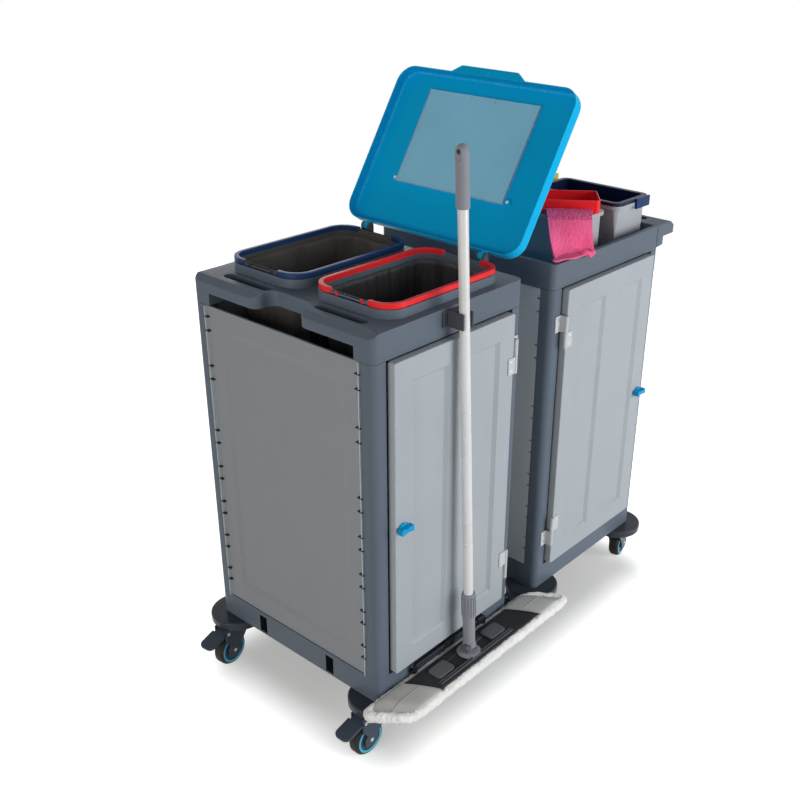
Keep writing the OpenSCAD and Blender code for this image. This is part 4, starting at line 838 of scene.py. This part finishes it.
def flap(way, a, b):
    """Point of the pocket at one end of the pad, with a from its mouth outwards and b across it"""
    place = pocket_mouth[0].lerp(pocket_mouth[1], b).lerp(pocket_end[0].lerp(pocket_end[1], b), a)
    slump = max(0.0, (a - 0.62) / 0.38)
    up = 0.0195 + (0.0145 - 0.012 * slump * slump * (3 - 2 * slump)) * max(0.0, sin(pi * b)) ** 0.13
    return pad_mid + Vector((-way * place.x, -way * place.y, up))


def fabric(point, rows, columns):
    """Grid of faces through point(a, b), with a and b from 0 to 1"""
    bm = bmesh.new()
    for vert in bmesh.ops.create_grid(bm, x_segments=rows, y_segments=columns, size=0.5)["verts"]:
        a, b = round(vert.co.x + 0.5, 6), round(vert.co.y + 0.5, 6)
        vert.co = point(a, b)
    bmesh.ops.recalc_face_normals(bm, faces=bm.faces)
    return bm


seams = bmesh.new()
for end, way in (("left", -1), ("right", 1)):
    bm = fabric(lambda a, b: flap(way, a, b), 24, 32)
    made = piece("pad_pocket_" + end, bm, pad_canvas, "mop_head", slots["mop_pad"], smooth=80, even=False)
    made.modifiers.new("weave", "SOLIDIFY").thickness = 0.0014
    middle = [flap(way, 0.06 + 0.94 * k / 20, 0.5) + Vector((0, 0, 0.0006)) for k in range(21)]
    hem_line = [flap(way, 0.0, k / 28) + Vector((0, 0, 0.0002)) for k in range(29)]
    sweep(seams, middle, 0.0011, sides=8)
    sweep(seams, hem_line, 0.0014, sides=8)
piece("pad_seams", seams, pad_seam, "mop_head", slots["mop_pad"], smooth=180, even=False)

# Buckets, trays and cloth
# Tapered grey buckets with a rolled lip stand in the tray top. One carries a loose red tray, one
# a navy insert with a clip, and a pink terry cloth hangs from under the red tray.
bucket_grey = moulded("bucket_grey", shade(182, 187, 194), rough=0.36)
tray_red = moulded("tray_red", (0.95, 0.024, 0.032, 1), rough=0.34)
tray_navy = moulded("tray_navy", shade(24, 36, 72), rough=0.36)
clip_blue = moulded("clip_blue", shade(28, 54, 106), rough=0.36)
clip_yellow = moulded("clip_yellow", shade(232, 205, 60), rough=0.4)
for node, mat in (("red_bucket", bucket_grey), ("blue_bucket", bucket_grey), ("rear_bucket", bucket_grey),
                  ("red_tray", tray_red), ("navy_tray", tray_navy)):
    eased(node, mat, 0.0009)
bm = box_between(at(1012, 25.2, 1121.2), at(1076.6, 32.2, 1147.8))
ease(bm, 0.0015)
piece("navy_clip", bm, clip_blue, "blue_bucket", slots["navy_tray"])
bm = box_between(at(1062, 329, 1130), at(1092, 338, 1152))
ease(bm, 0.002)
piece("rear_clip", bm, clip_yellow, "rear_bucket", slots["rear_bucket"])

cloth_pink = cloth("cloth_pink", (1.0, 0.15, 0.34, 1), (0.98, 0.115, 0.28, 1), 320.0, 0.95)
tray_turn = radians(-51)
tray_corner = Matrix.Translation(at(849, 34, 1138.3)) @ Matrix.Rotation(tray_turn, 4, "Z")
cloth_wide, cloth_run, cloth_puff, cloth_thick = 116, 80, 15, 0.004
rim_level, rim_front = -67.3, 34


def cloth_point(u, v):
    """Point from the tray's corner: a puffed run from under the tray, then a drop to the tray top's rim"""
    over = cloth_run * min(v / 0.45, 1)
    late, drop = max(v - 0.45, 0) / 0.55, max(v - 0.46, 0) / 0.54
    fold = 3 * drop * cos(4 * pi * u)
    x = -82 + (u - 0.5) * cloth_wide * (1 - 0.14 * v) + 15 * late
    y = -1.5 - over - 80 * (1.23 - u) * late - fold
    front = rim_front + x * sin(tray_turn) + y * cos(tray_turn)
    free = 3.6 - (70 + 18 * sin(pi * u)) * drop * (2 - drop)
    z = max(free, rim_level + min(front + 8, 0) * 1.2) + cloth_puff * sin(pi * min(v / 0.47, 1))
    pile = 1.1 * noise.noise(Vector((14 * u, 26 * v, 2))) + 1.5 * noise.noise(Vector((34 * u, 66 * v, 5)))
    pile *= min(1, (1 - v) * 8)
    return Vector((x, y - pile * drop, z + pile * (1 - drop))) / 1000


def towel_point(u, v):
    """The cloth, with its end rolled outwards past v = 1"""
    if v <= 1:
        return tray_corner @ cloth_point(u, v)
    end = cloth_point(u, 1)
    along = (end - cloth_point(u, 0.94)).normalized()
    outward = Vector((0, -1, 0))
    outward = (outward - along * outward.dot(along)).normalized()
    spun = (v - 1) / 0.12 * pi
    size = 0.003 + 0.007 * max(sin(pi * u), 0) ** 0.5
    return tray_corner @ (end + size * (outward * (1 - cos(spun)) + along * sin(spun)))


rolled_end = 1.14
bm = fabric(lambda a, b: towel_point(b, rolled_end * a), 220, 110)
flat_area = sum(face.calc_area() for face in bm.faces)
towel = piece("pink_cloth_skin", bm, cloth_pink, "red_bucket", slots["pink_cloth"], smooth=180, even=False)
pile = towel.modifiers.new("pile", "SOLIDIFY")
pile.thickness = cloth_thick
pile.offset = 0
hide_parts("pink_cloth")

# Casters
# Eight swivel casters: a dark hood fork round a wheel with a black tyre, a thin cyan ring and a
# slate hub, on a white riveted axle. Four have a broad brake pedal on a pin behind the wheel.
fork_slate = moulded("fork_slate", shade(72, 83, 98), rough=0.38)
tyre = moulded("tyre", shade(50, 50, 47), rough=0.55)
hoop_cyan = moulded("hoop_cyan", shade(80, 205, 238), rough=0.35)
rivet_white = moulded("rivet_white", shade(226, 228, 230), rough=0.35)
casters = {"fl": (28, 28, 0), "bl": (28, 536, 6), "fm": (464, 28, 0), "bm": (464, 536, 0),
           "fn": (642, 28, -90), "bn": (642, 536, 90), "fr": (1078, 28, 192), "br": (1078, 536, 180)}
braked = ("fl", "bl", "fn", "bn")
axle, pedal_pin, fork_half = (-0.044, 0.045), (-0.062, 0.106), 0.0215
hoop_radius, hoop_out, hoop_wide, hoop_thick = 0.0345, 0.0147, 0.0032, 0.0011
hub_discs, disc_thick, disc_taper = ((0.0312, 0.0133), (0.019, 0.0139)), 0.002, 0.0006
rivet_radius, rivet_height = 0.0052, 0.0016
for key, (x, y, turned) in casters.items():
    eased("fork_" + key, fork_slate, 0.0012)
    eased("wheel_" + key, tyre, 0.0012)
    if key in braked:
        eased("pedal_" + key, fork_slate, 0.0014)
    swivel = Matrix.Translation(at(x, y, 0)) @ Matrix.Rotation(radians(turned), 4, "Z")
    hoop, hub, rivets = bmesh.new(), bmesh.new(), bmesh.new()
    for side in (-1, 1):
        face = swivel @ Matrix.Translation((axle[0], 0, axle[1])) @ Matrix.Rotation(side * pi / -2, 4, "X")
        section = (face @ Matrix.Translation((hoop_radius, 0, hoop_out)) @ Matrix.Rotation(pi / 2, 4, "X")
                   @ Matrix.Diagonal((hoop_wide, hoop_thick, 1, 1)))
        bead = bmesh.ops.create_circle(hoop, segments=8, radius=1, matrix=section)["verts"]
        bead += list(dict.fromkeys(edge for vert in bead for edge in vert.link_edges))
        bmesh.ops.spin(hoop, geom=bead, cent=face.translation, axis=face.to_3x3() @ Vector((0, 0, 1)),
                       angle=2 * pi, steps=64, use_merge=True)
        for radius, top_at in hub_discs:
            seat_at = face @ Matrix.Translation((0, 0, top_at - disc_thick / 2))
            bmesh.ops.create_cone(hub, cap_ends=True, segments=64, radius1=radius,
                                  radius2=radius - disc_taper, depth=disc_thick, matrix=seat_at)
        outward = swivel.to_3x3() @ Vector((0, side, 0))
        for pin_x, pin_z in (axle, pedal_pin) if key in braked else (axle,):
            pin = swivel @ Vector((pin_x, side * fork_half, pin_z))
            button(rivets, pin, outward, rivet_radius, rivet_height)
    bmesh.ops.recalc_face_normals(hoop, faces=hoop.faces)
    piece("hoop_" + key, hoop, hoop_cyan, "wheel_" + key, slots["wheel_" + key], smooth=180, even=False)
    piece("hub_" + key, hub, fork_slate, "wheel_" + key, slots["wheel_" + key])
    piece("rivets_" + key, rivets, rivet_white, "caster_" + key, slots["fork_" + key])

# Size
# The box round every shown piece of the dressed model, in metres.
low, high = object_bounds()
